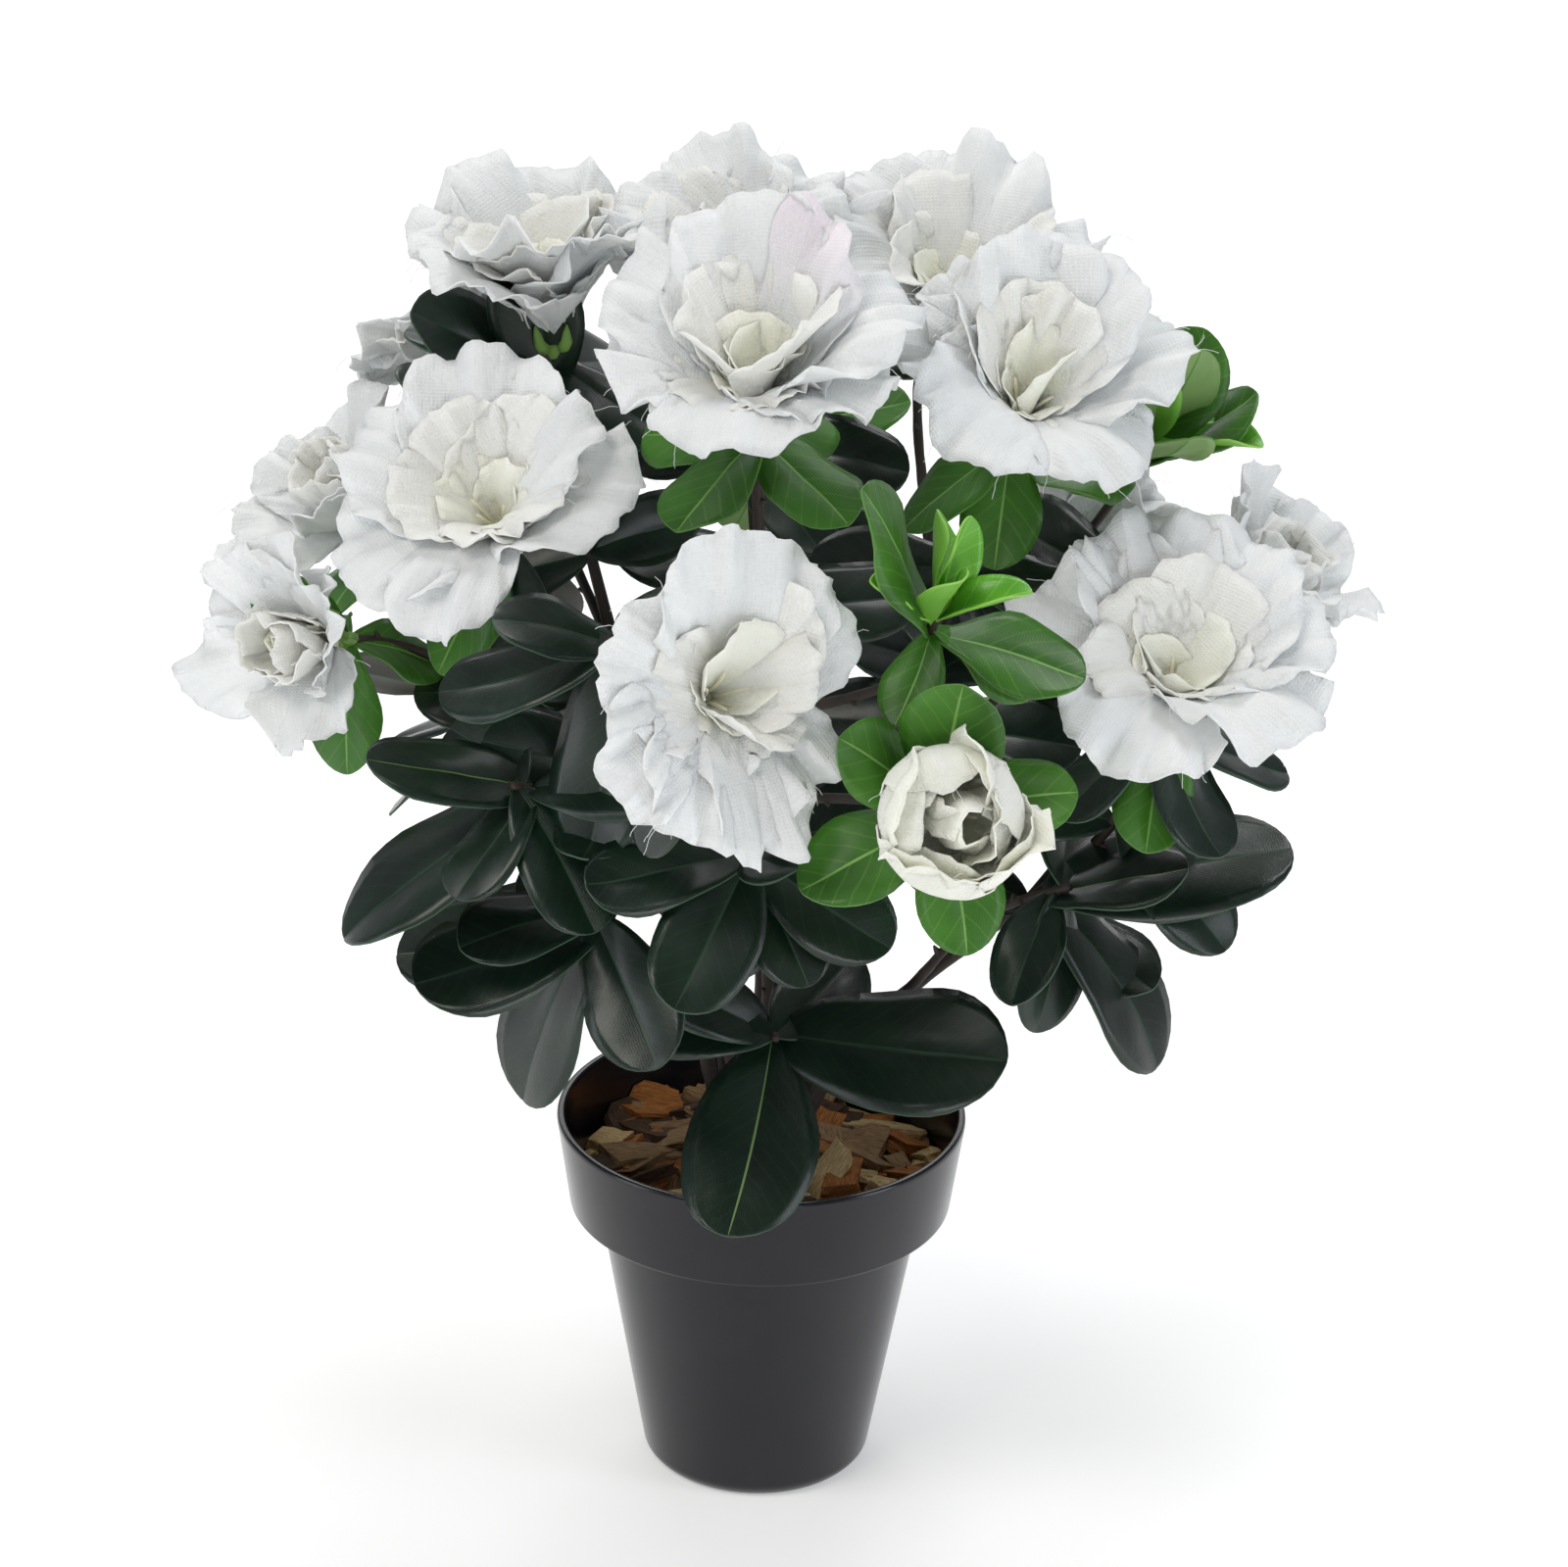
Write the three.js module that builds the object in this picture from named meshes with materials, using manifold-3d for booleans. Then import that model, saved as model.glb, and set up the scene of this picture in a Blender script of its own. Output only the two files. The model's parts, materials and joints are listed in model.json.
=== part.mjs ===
// Artificial azalea in a pot: white fabric blossoms and green fabric leaves on
// plastic stems, set in a filled nursery pot under a layer of wood chips.
//
// Millimetres, +Z up. The origin is the centre of the pot's flat underside.
// The front is -Y and the right is +X.

import * as THREE from 'three';
import { mergeGeometries, mergeVertices } from 'three/addons/utils/BufferGeometryUtils.js';
import Module from 'manifold-3d';

const wasm = await Module();
wasm.setup();

// ---------------------------------------------------------------- dimensions

const GAP = 0.3; // clearance between pieces that meet
const SLIVER = 0.05; // joins leave no facet narrower than this
const CLEAR = 0.5; // the least distance from a leaf or petal to another piece
const UP = new THREE.Vector3(0, 0, 1);

const POT = {
	height: 112,
	rimRadius: 60,
	bandBottomRadius: 56,
	bandHeight: 28.5,
	bodyTopRadius: 47.5,
	bodyBottomRadius: 33,
	footRadius: 27,
	footRise: 5,
	wall: 2,
	floor: 3.5,
	segments: 32,
};

const FILLING = { top: 84, segments: 20 };

const CHIPS = {
	bedThickness: 4,
	count: 18,
	length: [15, 27],
	width: [6, 11],
	thickness: 2.6,
	heap: 5,
	seed: 7,
	segments: 20,
};

const STEM = { ringRadius: 9, footRadius: 2.4, tipRadius: 1.5, sides: 5, steps: 6, handle: 0.42 };
const BRANCH = { footRadius: 1.7, tipRadius: 1.3, sides: 4, steps: 4, handle: 0.36 };
const LIMB_ROOM = 0.45; // what is cut away round a limb, more than GAP for its flat facets

const STALK = { radius: 1.5, sides: 5, bloom: 12, rosette: 16, throat: 10 };
const CALYX = { radius: 4.5, shoulder: 3, length: 9 };

const LEAF = { thickness: 1, corners: 7, obovate: 0.85, taper: 0.3, crease: 0.1, bend: 0.1 };
const LEAF_WIDTH = { dark: 0.6, light: 0.62, bright: 0.5 };

const PETAL = { thickness: 1.3, ruffle: 0.03, sink: 1, notch: 0.84, columns: 3 };
const SHUT = { degrees: 14, shorter: 0.08 }; // what one step of closing does to a petal

// Petal layers of the three stages of opening, round a closed heart. Lengths are
// shares of the blossom's size, a petal's heading off the axis runs from..to
// degrees, and shift is how far a layer is turned, in petals.
const OPENING = {
	full: {
		layers: [
			{ petals: 5, length: 0.62, from: 20, to: 100, shift: 0 },
			{ petals: 5, length: 0.48, from: 12, to: 64, shift: 0.5 },
		],
		heart: { radius: 0.03, shoulder: 0.12, height: 0.2 },
	},
	half: {
		layers: [
			{ petals: 5, length: 0.78, from: 50, to: 20, shift: 0 },
			{ petals: 5, length: 0.62, from: 30, to: -8, shift: 0.5 },
		],
		heart: { radius: 0.06, shoulder: 0.2, height: 0.36 },
	},
	cup: {
		layers: [{ petals: 5, length: 0.98, from: 88, to: -22, shift: 0 }],
		heart: { radius: 0.26, shoulder: 0.34, height: 0.58 },
	},
};

const COLOUR = {
	pot: 0x3b3a3e,
	filling: 0x8d8a84,
	chips: 0xa98255,
	stem: 0x2a2320,
	leaves: 0x20402a,
	blossom: 0xf0f0ea,
};

// ------------------------------------------------------------------ the plan

// Directions are [turn, lift] in degrees: turn goes from the front (-Y) round to
// the right (+X), and lift goes up from level.

// Main stems, by the place of their foot on the ring and the spray that each ends in.
const STEMS = [
	{ foot: -15, spray: 'front' },
	{ foot: 45, spray: 'right_shoulder' },
	{ foot: -75, spray: 'left_shoulder' },
	{ foot: 15, spray: 'top_centre', ring: 0.2 },
	{ foot: 95, spray: 'top_right' },
	{ foot: 180, spray: 'back_centre_top', arrive: 0.16 },
	{ foot: -135, spray: 'back_left_top' },
	{ foot: 135, spray: 'back_right_low' },
];

// Sprays, front to back. A blossom's place is its throat, a rosette's is its
// middle. A leaf is [turn, lift, length] and, where it isn't the spray's own
// kind, its kind. "on" is the stem that the spray's branch leaves, "at" how far up.
const SPRAYS = [
	{
		name: 'top_centre', place: [-5, -55, 355], face: [-4, 68], opening: 'full', size: 100,
		kind: 'light', leaves: [[-28, -38, 40], [34, -36, 40], [150, -10, 38], [-120, -5, 38]],
	},
	{
		name: 'top_right', place: [68, -28, 343], face: [18, 58], opening: 'full', size: 90,
		kind: 'light', leaves: [[-12, -52, 36], [-75, -30, 38], [120, -20, 40]],
	},
	{
		name: 'left_shoulder', place: [-76, -32, 309], face: [-20, 50], opening: 'full', size: 92,
		kind: 'light', leaves: [[-76, -56, 42], [10, -68, 42, 'dark'], [-150, -40, 36], [-170, -10, 40]],
	},
	{
		name: 'front', place: [-12, -122, 293], face: [26, 24], opening: 'full', size: 92,
		kind: 'light', leaves: [[-60, -65, 44, 'dark'], [40, -72, 38]],
	},
	{
		name: 'right_shoulder', place: [109, -62, 276], face: [14, 64], opening: 'full', size: 94,
		kind: 'light', leaves: [[-12, -55, 36], [-70, -35, 38, 'dark'], [110, -25, 44, 'dark'],
			[40, -50, 40, 'dark']],
	},
	{
		name: 'left_low', place: [-130, -14, 262], face: [-38, 14], opening: 'half', size: 62,
		on: 'left_shoulder', at: 0.52,
		kind: 'light', leaves: [[-4, -62, 38], [-70, 40, 32], [120, -20, 34], [-150, -10, 34]],
	},
	{
		name: 'front_bud', place: [47, -140, 268], face: [6, 20], opening: 'cup', size: 44,
		on: 'front', at: 0.56,
		kind: 'light', leaves: [[-60, 44, 38], [12, 66, 44], [84, 14, 36], [-72, -24, 42], [20, -52, 38]],
	},
	{
		name: 'front_shoot', place: [42, -104, 306], face: [8, 56], size: 0,
		on: 'front', at: 0.74,
		kind: 'light', leaves: [[-36, 70, 50], [74, -6, 42], [-30, -40, 27], [100, -30, 34],
			[20, 50, 24, 'bright'], [-60, 40, 22, 'bright'], [70, 44, 24, 'bright'], [170, 62, 22, 'bright']],
	},
	{
		name: 'back_left_top', place: [-68, 34, 350], face: [-151, 42], opening: 'full', size: 78,
		kind: 'dark', leaves: [[-60, 34, 48], [-76, -2, 46], [-20, 66, 36, 'light'], [70, -20, 42]],
	},
	{
		name: 'back_centre_top', place: [-8, 30, 375], face: [178, 58], opening: 'full', size: 76,
		kind: 'light', leaves: [[-62, 58, 32], [-96, 44, 26, 'bright'], [80, 10, 38], [0, -30, 40, 'dark'],
			[-20, -60, 40, 'dark']],
	},
	{
		name: 'back_right_top', place: [56, 44, 357], face: [164, 52], opening: 'full', size: 80,
		on: 'top_right', at: 0.66,
		kind: 'light', leaves: [[-20, 10, 36, 'dark'], [80, -10, 40], [-120, -20, 38, 'dark']],
	},
	{
		name: 'right_high_shoots', place: [101, 0, 315], face: [70, 62], size: 0,
		on: 'top_right', at: 0.55,
		kind: 'light', leaves: [[-40, 20, 40], [60, 66, 44], [95, 34, 40], [118, 62, 42], [20, 30, 36],
			[150, 10, 40, 'dark'], [-60, 60, 30, 'bright'], [10, 72, 30, 'bright'], [80, 12, 32, 'bright']],
	},
	{
		name: 'right_far', place: [141, 34, 266], face: [112, 34], opening: 'half', size: 58,
		on: 'right_shoulder', at: 0.62,
		kind: 'light', leaves: [[80, -50, 38], [160, -20, 40, 'dark'], [20, 10, 36], [110, 60, 30]],
	},
	{
		name: 'left_far', place: [-122, 48, 284], face: [-112, 38], opening: 'half', size: 50,
		on: 'left_shoulder', at: 0.64,
		kind: 'light', leaves: [[-30, -20, 40], [10, 16, 44, 'dark'], [-100, -40, 38], [170, -10, 42, 'dark']],
	},
	{
		name: 'back_left_high', place: [-90, 74, 316], face: [-140, 40], opening: 'full', size: 74,
		on: 'back_left_top', at: 0.62,
		kind: 'dark', leaves: [[-60, -20, 46], [-30, 30, 46], [150, -30, 46]],
	},
	{
		name: 'back_left_low', place: [-84, 112, 250], face: [-142, 24], opening: 'full', size: 86,
		on: 'back_left_top', at: 0.42,
		kind: 'light', leaves: [[-100, -50, 44, 'dark'], [170, -50, 46, 'dark'], [-70, 20, 40]],
	},
	{
		name: 'back_centre', place: [2, 124, 294], face: [180, 30], opening: 'full', size: 90,
		on: 'back_centre_top', at: 0.5,
		kind: 'light', leaves: [[-140, -56, 42], [140, -56, 42], [90, 16, 40], [-90, 16, 42, 'dark']],
	},
	{
		name: 'back_right_low', place: [90, 108, 254], face: [140, 26], opening: 'full', size: 86,
		kind: 'light', leaves: [[100, -48, 46, 'dark'], [-170, -50, 44, 'dark'], [80, 24, 40]],
	},
	{
		name: 'right_leaves', place: [78, -50, 206], face: [58, 28], size: 0,
		on: 'right_shoulder', at: 0.36,
		kind: 'dark', leaves: [[70, 22, 46], [98, 10, 72], [76, -46, 60], [-24, -28, 36], [-6, -64, 40],
			[170, 10, 50]],
	},
	{
		name: 'centre_leaves', place: [-4, -84, 232], face: [6, 20], size: 0,
		on: 'front', at: 0.36,
		kind: 'dark', leaves: [[-8, -40, 36], [32, -36, 40], [62, -20, 46], [-30, -38, 50], [-76, -6, 46],
			[20, 20, 36]],
	},
	{
		name: 'left_leaves', place: [-64, -62, 240], face: [-46, 22], size: 0,
		on: 'left_shoulder', at: 0.38,
		kind: 'dark', leaves: [[-76, 18, 50], [-80, -31, 68], [-40, -26, 38], [60, 20, 50], [-150, 0, 46],
			[40, -40, 46]],
	},
	{
		name: 'left_low_leaves', place: [-44, -54, 200], face: [-42, 8], size: 0,
		on: 'front', at: 0.22,
		kind: 'dark', leaves: [[-72, -12, 60], [-98, -16, 64], [-58, 4, 44], [-78, -64, 62], [30, -40, 48]],
	},
	{
		name: 'foot_leaves', place: [3, -32, 152], face: [6, 20], size: 0,
		on: 'top_centre', at: 0.14,
		kind: 'dark', leaves: [[66, 8, 71], [-12, -30, 66], [-76, 34, 44], [150, 10, 46], [-100, 14, 48]],
	},
	{
		name: 'upper_left_leaves', place: [-40, -72, 286], face: [-26, 34], size: 0,
		on: 'top_centre', at: 0.5,
		kind: 'dark', leaves: [[-70, 24, 38], [-40, -74, 58], [-100, -20, 52], [30, 30, 40]],
	},
	{
		name: 'upper_right_leaves', place: [96, -22, 286], face: [40, 44], size: 0,
		on: 'top_right', at: 0.4,
		kind: 'dark', leaves: [[-84, 12, 38], [-130, 16, 48], [20, 6, 40], [120, 0, 46], [40, -50, 44]],
	},
	{
		name: 'back_left_leaves', place: [-74, 66, 214], face: [-132, 18], size: 0,
		on: 'back_left_top', at: 0.28,
		kind: 'dark', leaves: [[-90, 14, 58], [-128, -24, 60], [-160, 18, 56], [-70, -36, 52], [170, -34, 54]],
	},
	{
		name: 'back_right_leaves', place: [72, 70, 210], face: [127, 19], size: 0,
		on: 'back_right_low', at: 0.36,
		kind: 'dark', leaves: [[92, 14, 60], [126, -26, 60], [162, 16, 54], [70, -34, 54], [-176, -40, 52]],
	},
	{
		name: 'back_centre_leaves', place: [0, 76, 186], face: [180, 14], size: 0,
		on: 'back_centre_top', at: 0.24,
		kind: 'dark', leaves: [[140, 4, 56], [180, -30, 62], [-140, 2, 56], [110, -36, 50], [-112, -34, 50]],
	},
];

// ------------------------------------------------------------------- helpers

// A small repeatable random source: each call gives the next number from 0 to 1.
function randomFrom(seed) {
	let state = seed;
	return () => {
		state = (state + 0x6d2b79f5) | 0;
		let bits = Math.imul(state ^ (state >>> 15), 1 | state);
		bits = (bits + Math.imul(bits ^ (bits >>> 7), 61 | bits)) ^ bits;
		return ((bits ^ (bits >>> 14)) >>> 0) / 4294967296;
	};
}

const between = (random, [low, high]) => low + (high - low) * random();

function heading([turn, lift]) {
	const a = THREE.MathUtils.degToRad(turn);
	const b = THREE.MathUtils.degToRad(lift);
	return new THREE.Vector3(Math.sin(a) * Math.cos(b), -Math.cos(a) * Math.cos(b), Math.sin(b));
}

// A frame at origin whose x runs along and whose z leans to up.
function frameAt(origin, along, up) {
	const z = up.clone().addScaledVector(along, -up.dot(along)).normalize();
	const y = new THREE.Vector3().crossVectors(z, along);
	return new THREE.Matrix4().makeBasis(along, y, z).setPosition(origin);
}

function toSolid(geometry) {
	const bare = geometry.clone();
	bare.deleteAttribute('normal');
	bare.deleteAttribute('uv');
	const merged = mergeVertices(bare, 1e-4);
	return new wasm.Manifold(
		new wasm.Mesh({
			numProp: 3,
			vertProperties: new Float32Array(merged.attributes.position.array),
			triVerts: new Uint32Array(merged.index.array),
		}),
	);
}

function toGeometry(solid) {
	const { vertProperties, triVerts, numProp } = solid.getMesh();
	const position = new Float32Array((vertProperties.length / numProp) * 3);
	for (let i = 0; i < position.length / 3; i++) {
		for (let k = 0; k < 3; k++) position[3 * i + k] = vertProperties[numProp * i + k];
	}
	const geometry = new THREE.BufferGeometry();
	geometry.setAttribute('position', new THREE.BufferAttribute(position, 3));
	geometry.setIndex(new THREE.BufferAttribute(new Uint32Array(triVerts), 1));
	geometry.computeVertexNormals();
	return geometry;
}

// Moves every vertex of a geometry by a rule and gives the geometry back.
function reshape(geometry, rule) {
	const position = geometry.attributes.position;
	const point = new THREE.Vector3();
	for (let i = 0; i < position.count; i++) {
		point.fromBufferAttribute(position, i);
		point.copy(rule(point));
		position.setXYZ(i, point.x, point.y, point.z);
	}
	return geometry;
}

function largestBody(solid) {
	return solid.decompose().reduce((best, body) => (body.volume() > best.volume() ? body : best));
}

function turned(profile, segments) {
	const points = profile.map(([radius, height]) => new THREE.Vector2(radius, height));
	return new THREE.LatheGeometry(points, segments).rotateX(Math.PI / 2);
}

// ----------------------------------------------------------------------- pot

const bandBottom = POT.height - POT.bandHeight;

// Outer radius of the pot's band at a height above its lower edge.
function bandRadius(height) {
	const share = (height - bandBottom) / POT.bandHeight;
	return THREE.MathUtils.lerp(POT.bandBottomRadius, POT.rimRadius, share);
}

function bodyRadius(height) {
	const share = (height - POT.footRise) / (bandBottom - POT.footRise);
	return THREE.MathUtils.lerp(POT.bodyBottomRadius, POT.bodyTopRadius, share);
}

function potGeometry() {
	const { height, wall, floor, footRadius, footRise, rimRadius } = POT;
	const edge = wall / 2;
	return turned(
		[
			[0, 0],
			[footRadius, 0],
			[bodyRadius(footRise) - 1.6, footRise * 0.35],
			[bodyRadius(footRise), footRise],
			[bodyRadius(bandBottom), bandBottom],
			[bandRadius(bandBottom) - edge, bandBottom],
			[bandRadius(bandBottom), bandBottom + edge],
			[rimRadius, height - edge],
			[rimRadius - edge, height],
			[rimRadius - wall, height - edge],
			[bandRadius(bandBottom) - wall, bandBottom + wall],
			[bodyRadius(bandBottom) - wall, bandBottom + wall],
			[bodyRadius(footRise) - wall, footRise],
			[footRadius, floor],
			[0, floor],
		],
		POT.segments,
	);
}

function fillingGeometry() {
	const { footRise, wall, floor, footRadius } = POT;
	const inset = wall + GAP / Math.cos(Math.PI / POT.segments) + 0.3;
	return turned(
		[
			[0, floor + GAP],
			[footRadius - GAP, floor + GAP],
			[bodyRadius(footRise) - inset, footRise + GAP],
			[bodyRadius(FILLING.top) - inset, FILLING.top],
			[0, FILLING.top],
		],
		FILLING.segments,
	);
}

const chipsBase = bandBottom + POT.wall + GAP;
const chipsTop = chipsBase + CHIPS.bedThickness;

// The inner wall's radius less the clearance, at the flats of its faceted circle.
function chipsReach(height) {
	return (bandRadius(height) - POT.wall) * Math.cos(Math.PI / POT.segments) - GAP;
}

// One wood chip: a slab with skewed ends, lying on the bed at a slight tilt.
function chipGeometry(random, index) {
	const length = between(random, CHIPS.length);
	const width = between(random, CHIPS.width);
	const skew = (random() - 0.5) * 0.8;
	const chip = reshape(new THREE.BoxGeometry(length, width, CHIPS.thickness), (point) => {
		point.x += skew * point.y;
		return point;
	});
	const radius = chipsReach(chipsTop) * Math.sqrt((index + 0.5) / CHIPS.count) - length * 0.3;
	const angle = index * 2.399963;
	const tilt = (random() - 0.5) * 0.5;
	const heap = CHIPS.heap * (1 - radius / chipsReach(chipsTop)) * random();
	return chip
		.rotateY(tilt)
		.rotateX((random() - 0.5) * 0.5)
		.rotateZ(random() * Math.PI)
		.translate(radius * Math.cos(angle), radius * Math.sin(angle), chipsTop + heap);
}

function chipsSolid(stems) {
	const reach = chipsReach(chipsBase);
	const bed = turned([[0, chipsBase], [reach, chipsBase], [reach, chipsTop], [0, chipsTop]], CHIPS.segments);
	const random = randomFrom(CHIPS.seed);
	let solid = toSolid(bed);
	for (let i = 0; i < CHIPS.count; i++) solid = solid.add(toSolid(chipGeometry(random, i)));
	const lid = turned(
		[[0, chipsBase], [reach, chipsBase], [chipsReach(POT.height), POT.height], [0, POT.height]],
		CHIPS.segments,
	);
	solid = solid.intersect(toSolid(lid));
	for (const stem of stems) solid = solid.subtract(stem.room);
	return largestBody(solid);
}

// --------------------------------------------------------------------- limbs

// A tapering limb bent along a curve. Its rings lie square to the curve.
function limbSolid(curve, footRadius, tipRadius, { sides, steps }) {
	const frames = curve.computeFrenetFrames(steps, false);
	const cylinder = new THREE.CylinderGeometry(1, 1, 1, sides, steps);
	const bent = reshape(cylinder, (point) => {
		const share = point.y + 0.5;
		const step = Math.round(share * steps);
		const radius = THREE.MathUtils.lerp(footRadius, tipRadius, share);
		return curve
			.getPointAt(share)
			.addScaledVector(frames.normals[step], point.z * radius)
			.addScaledVector(frames.binormals[step], point.x * radius);
	});
	return toSolid(bent);
}

// A curve that leaves start along one direction and arrives at end along another.
// leave and arrive say how firmly, as shares of the distance.
function limbCurve(start, startAlong, end, endAlong, leave, arrive) {
	const distance = start.distanceTo(end);
	return new THREE.CubicBezierCurve3(
		start,
		start.clone().addScaledVector(startAlong, distance * leave),
		end.clone().addScaledVector(endAlong, -distance * arrive),
		end,
	);
}

// Where a spray's own stalk begins: behind the throat of a blossom, or below
// the middle of a rosette.
function sprayRoot(spray) {
	const back = spray.size ? STALK.bloom + STALK.throat : STALK.rosette / 2;
	return new THREE.Vector3(...spray.place).addScaledVector(heading(spray.face), -back);
}

function makeLimb(name, start, along, spray, form, arrive = form.handle) {
	const face = heading(spray.face);
	const end = sprayRoot(spray).addScaledVector(face, -GAP);
	const curve = limbCurve(start, along, end, face, form.handle, arrive);
	const solid = limbSolid(curve, form.footRadius, form.tipRadius, form);
	const room = limbSolid(curve, form.footRadius + LIMB_ROOM, form.tipRadius + LIMB_ROOM, form);
	return { name, spray: spray.name, curve, solid, room };
}

function makeStems() {
	return STEMS.map(({ foot, spray: sprayName, ring = 1, arrive }, index) => {
		const spray = SPRAYS.find(({ name }) => name === sprayName);
		const out = heading([foot, 0]);
		const start = out.clone().multiplyScalar(STEM.ringRadius * ring).setZ(FILLING.top + GAP);
		const along = out.clone().multiplyScalar(0.12).add(UP).normalize();
		return makeLimb(`stem_${index + 1}`, start, along, spray, STEM, arrive);
	});
}

// A branch leaves its stem's axis and is cut clear of every limb made before it.
function makeBranches(stems) {
	const branches = [];
	for (const spray of SPRAYS.filter(({ on }) => on)) {
		const stem = stems.find((one) => one.spray === spray.on);
		const start = stem.curve.getPointAt(spray.at);
		const out = sprayRoot(spray).sub(start).normalize();
		const along = stem.curve.getTangentAt(spray.at).add(out).normalize();
		const branch = makeLimb(`branch_${spray.name}`, start, along, spray, BRANCH);
		for (const limb of [...stems, ...branches]) branch.solid = branch.solid.subtract(limb.room);
		branch.solid = largestBody(branch.solid);
		branches.push(branch);
	}
	return branches;
}

// -------------------------------------------------------------------- blades

// A closed blade: two sheets that share their edge. shape(along, across) gives a
// point of the middle surface and its normal for along 0..1 and across -1..1.
function bladeSolid(shape, thickness, stations) {
	const rows = stations.length - 1;
	const sheet = (side) =>
		reshape(new THREE.PlaneGeometry(2, 1, 2, rows), ({ x: across, y }) => {
			const row = Math.round((0.5 - y) * rows);
			const inside = across === 0 && row > 0 && row < rows ? 1 : 0;
			const { point, normal } = shape(stations[row], across);
			return point.addScaledVector(normal, (side * inside * thickness) / 2);
		});
	const front = sheet(1);
	const back = sheet(-1);
	back.setIndex([...back.index.array].reverse());
	return toSolid(mergeGeometries([front, back]));
}

// A leaf is two shallow fans that share their edge, widest past the middle and
// blunt at the tip. It is bent down along its length, round its thick middle.
function leafSolid(root, [turn, lift, length, kind], spray, [turnBy, liftBy]) {
	const along = heading([turn + turnBy, lift + liftBy]);
	const up = heading(spray.face).addScaledVector(UP, 0.8);
	const frame = frameAt(root, along, up);
	const halfWidth = (length * LEAF_WIDTH[kind ?? spray.kind]) / 2;
	const sheet = (side) =>
		reshape(new THREE.CircleGeometry(1, LEAF.corners), ({ x, y }) => {
			const share = ((1 - x) / 2) ** LEAF.obovate;
			const narrow = share ** LEAF.taper;
			const isMiddle = x * x + y * y < 0.5;
			const fold = (isMiddle ? 0 : LEAF.crease * halfWidth) + (isMiddle ? (side * LEAF.thickness) / 2 : 0);
			const sag = LEAF.bend * length * share * share;
			return new THREE.Vector3(share * length, -y * narrow * halfWidth, fold - sag).applyMatrix4(frame);
		});
	const front = sheet(1);
	const back = sheet(-1);
	back.setIndex([...back.index.array].reverse());
	return toSolid(mergeGeometries([front, back]));
}

// A point of a petal layer, for along 0..1 and a place round the blossom's axis
// from 0 to 1. Petals of one layer are joined up to the notch between them, and
// each has its own share "shut" by which it closes up.
function layerPoint(layer, size, shut, along, round) {
	const place = (round * layer.petals + layer.petals + layer.shift) % layer.petals;
	const here = Math.floor(place);
	const across = place - here;
	const beside = (across < 0.5 ? here + layer.petals - 1 : here + 1) % layer.petals;
	const edge = Math.abs(2 * across - 1);
	const closed = THREE.MathUtils.lerp(shut[here], (shut[here] + shut[beside]) / 2, edge);
	const reach = THREE.MathUtils.lerp(1, PETAL.notch, edge ** 3);
	const length = layer.length * size * (1 - SHUT.shorter * closed);
	const from = THREE.MathUtils.degToRad(layer.from);
	const to = THREE.MathUtils.degToRad(layer.to - SHUT.degrees * closed * Math.sign(layer.to - layer.from));
	const at = from + (to - from) * along * reach;
	const radius = PETAL.sink + (length * (Math.cos(from) - Math.cos(at))) / (to - from);
	const height = (length * (Math.sin(at) - Math.sin(from))) / (to - from);
	const ruffle = PETAL.ruffle * size * along * Math.sin(2 * Math.PI * across);
	const spin = 2 * Math.PI * round;
	const out = new THREE.Vector3(0, -Math.sin(spin), Math.cos(spin));
	const normal = new THREE.Vector3(Math.sin(at), 0, 0).addScaledVector(out, -Math.cos(at));
	const point = new THREE.Vector3(height, 0, 0).addScaledVector(out, radius);
	return { point: point.addScaledVector(normal, ruffle), normal };
}

// A single petal of a layer, to try how far it can open.
function petalSolid(frame, layer, index, size, shut) {
	const alone = Array(layer.petals).fill(shut);
	const shape = (along, across) => {
		const round = (index + 0.5 + across * 0.49 - layer.shift) / layer.petals;
		const { point, normal } = layerPoint(layer, size, alone, Math.max(along, 0.12), round);
		return { point: point.applyMatrix4(frame), normal: normal.transformDirection(frame) };
	};
	return bladeSolid(shape, PETAL.thickness, [0, 0.4, 0.75, 1]);
}

// Splits one quad of a plane along its other diagonal, as the upper side of a thin
// petal needs to lie along its underside.
function splitOtherWay(plane, quad) {
	const [a, b, d, , c] = plane.index.array.slice(6 * quad);
	plane.index.array.set([a, b, c, a, c, d], 6 * quad);
}

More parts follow.
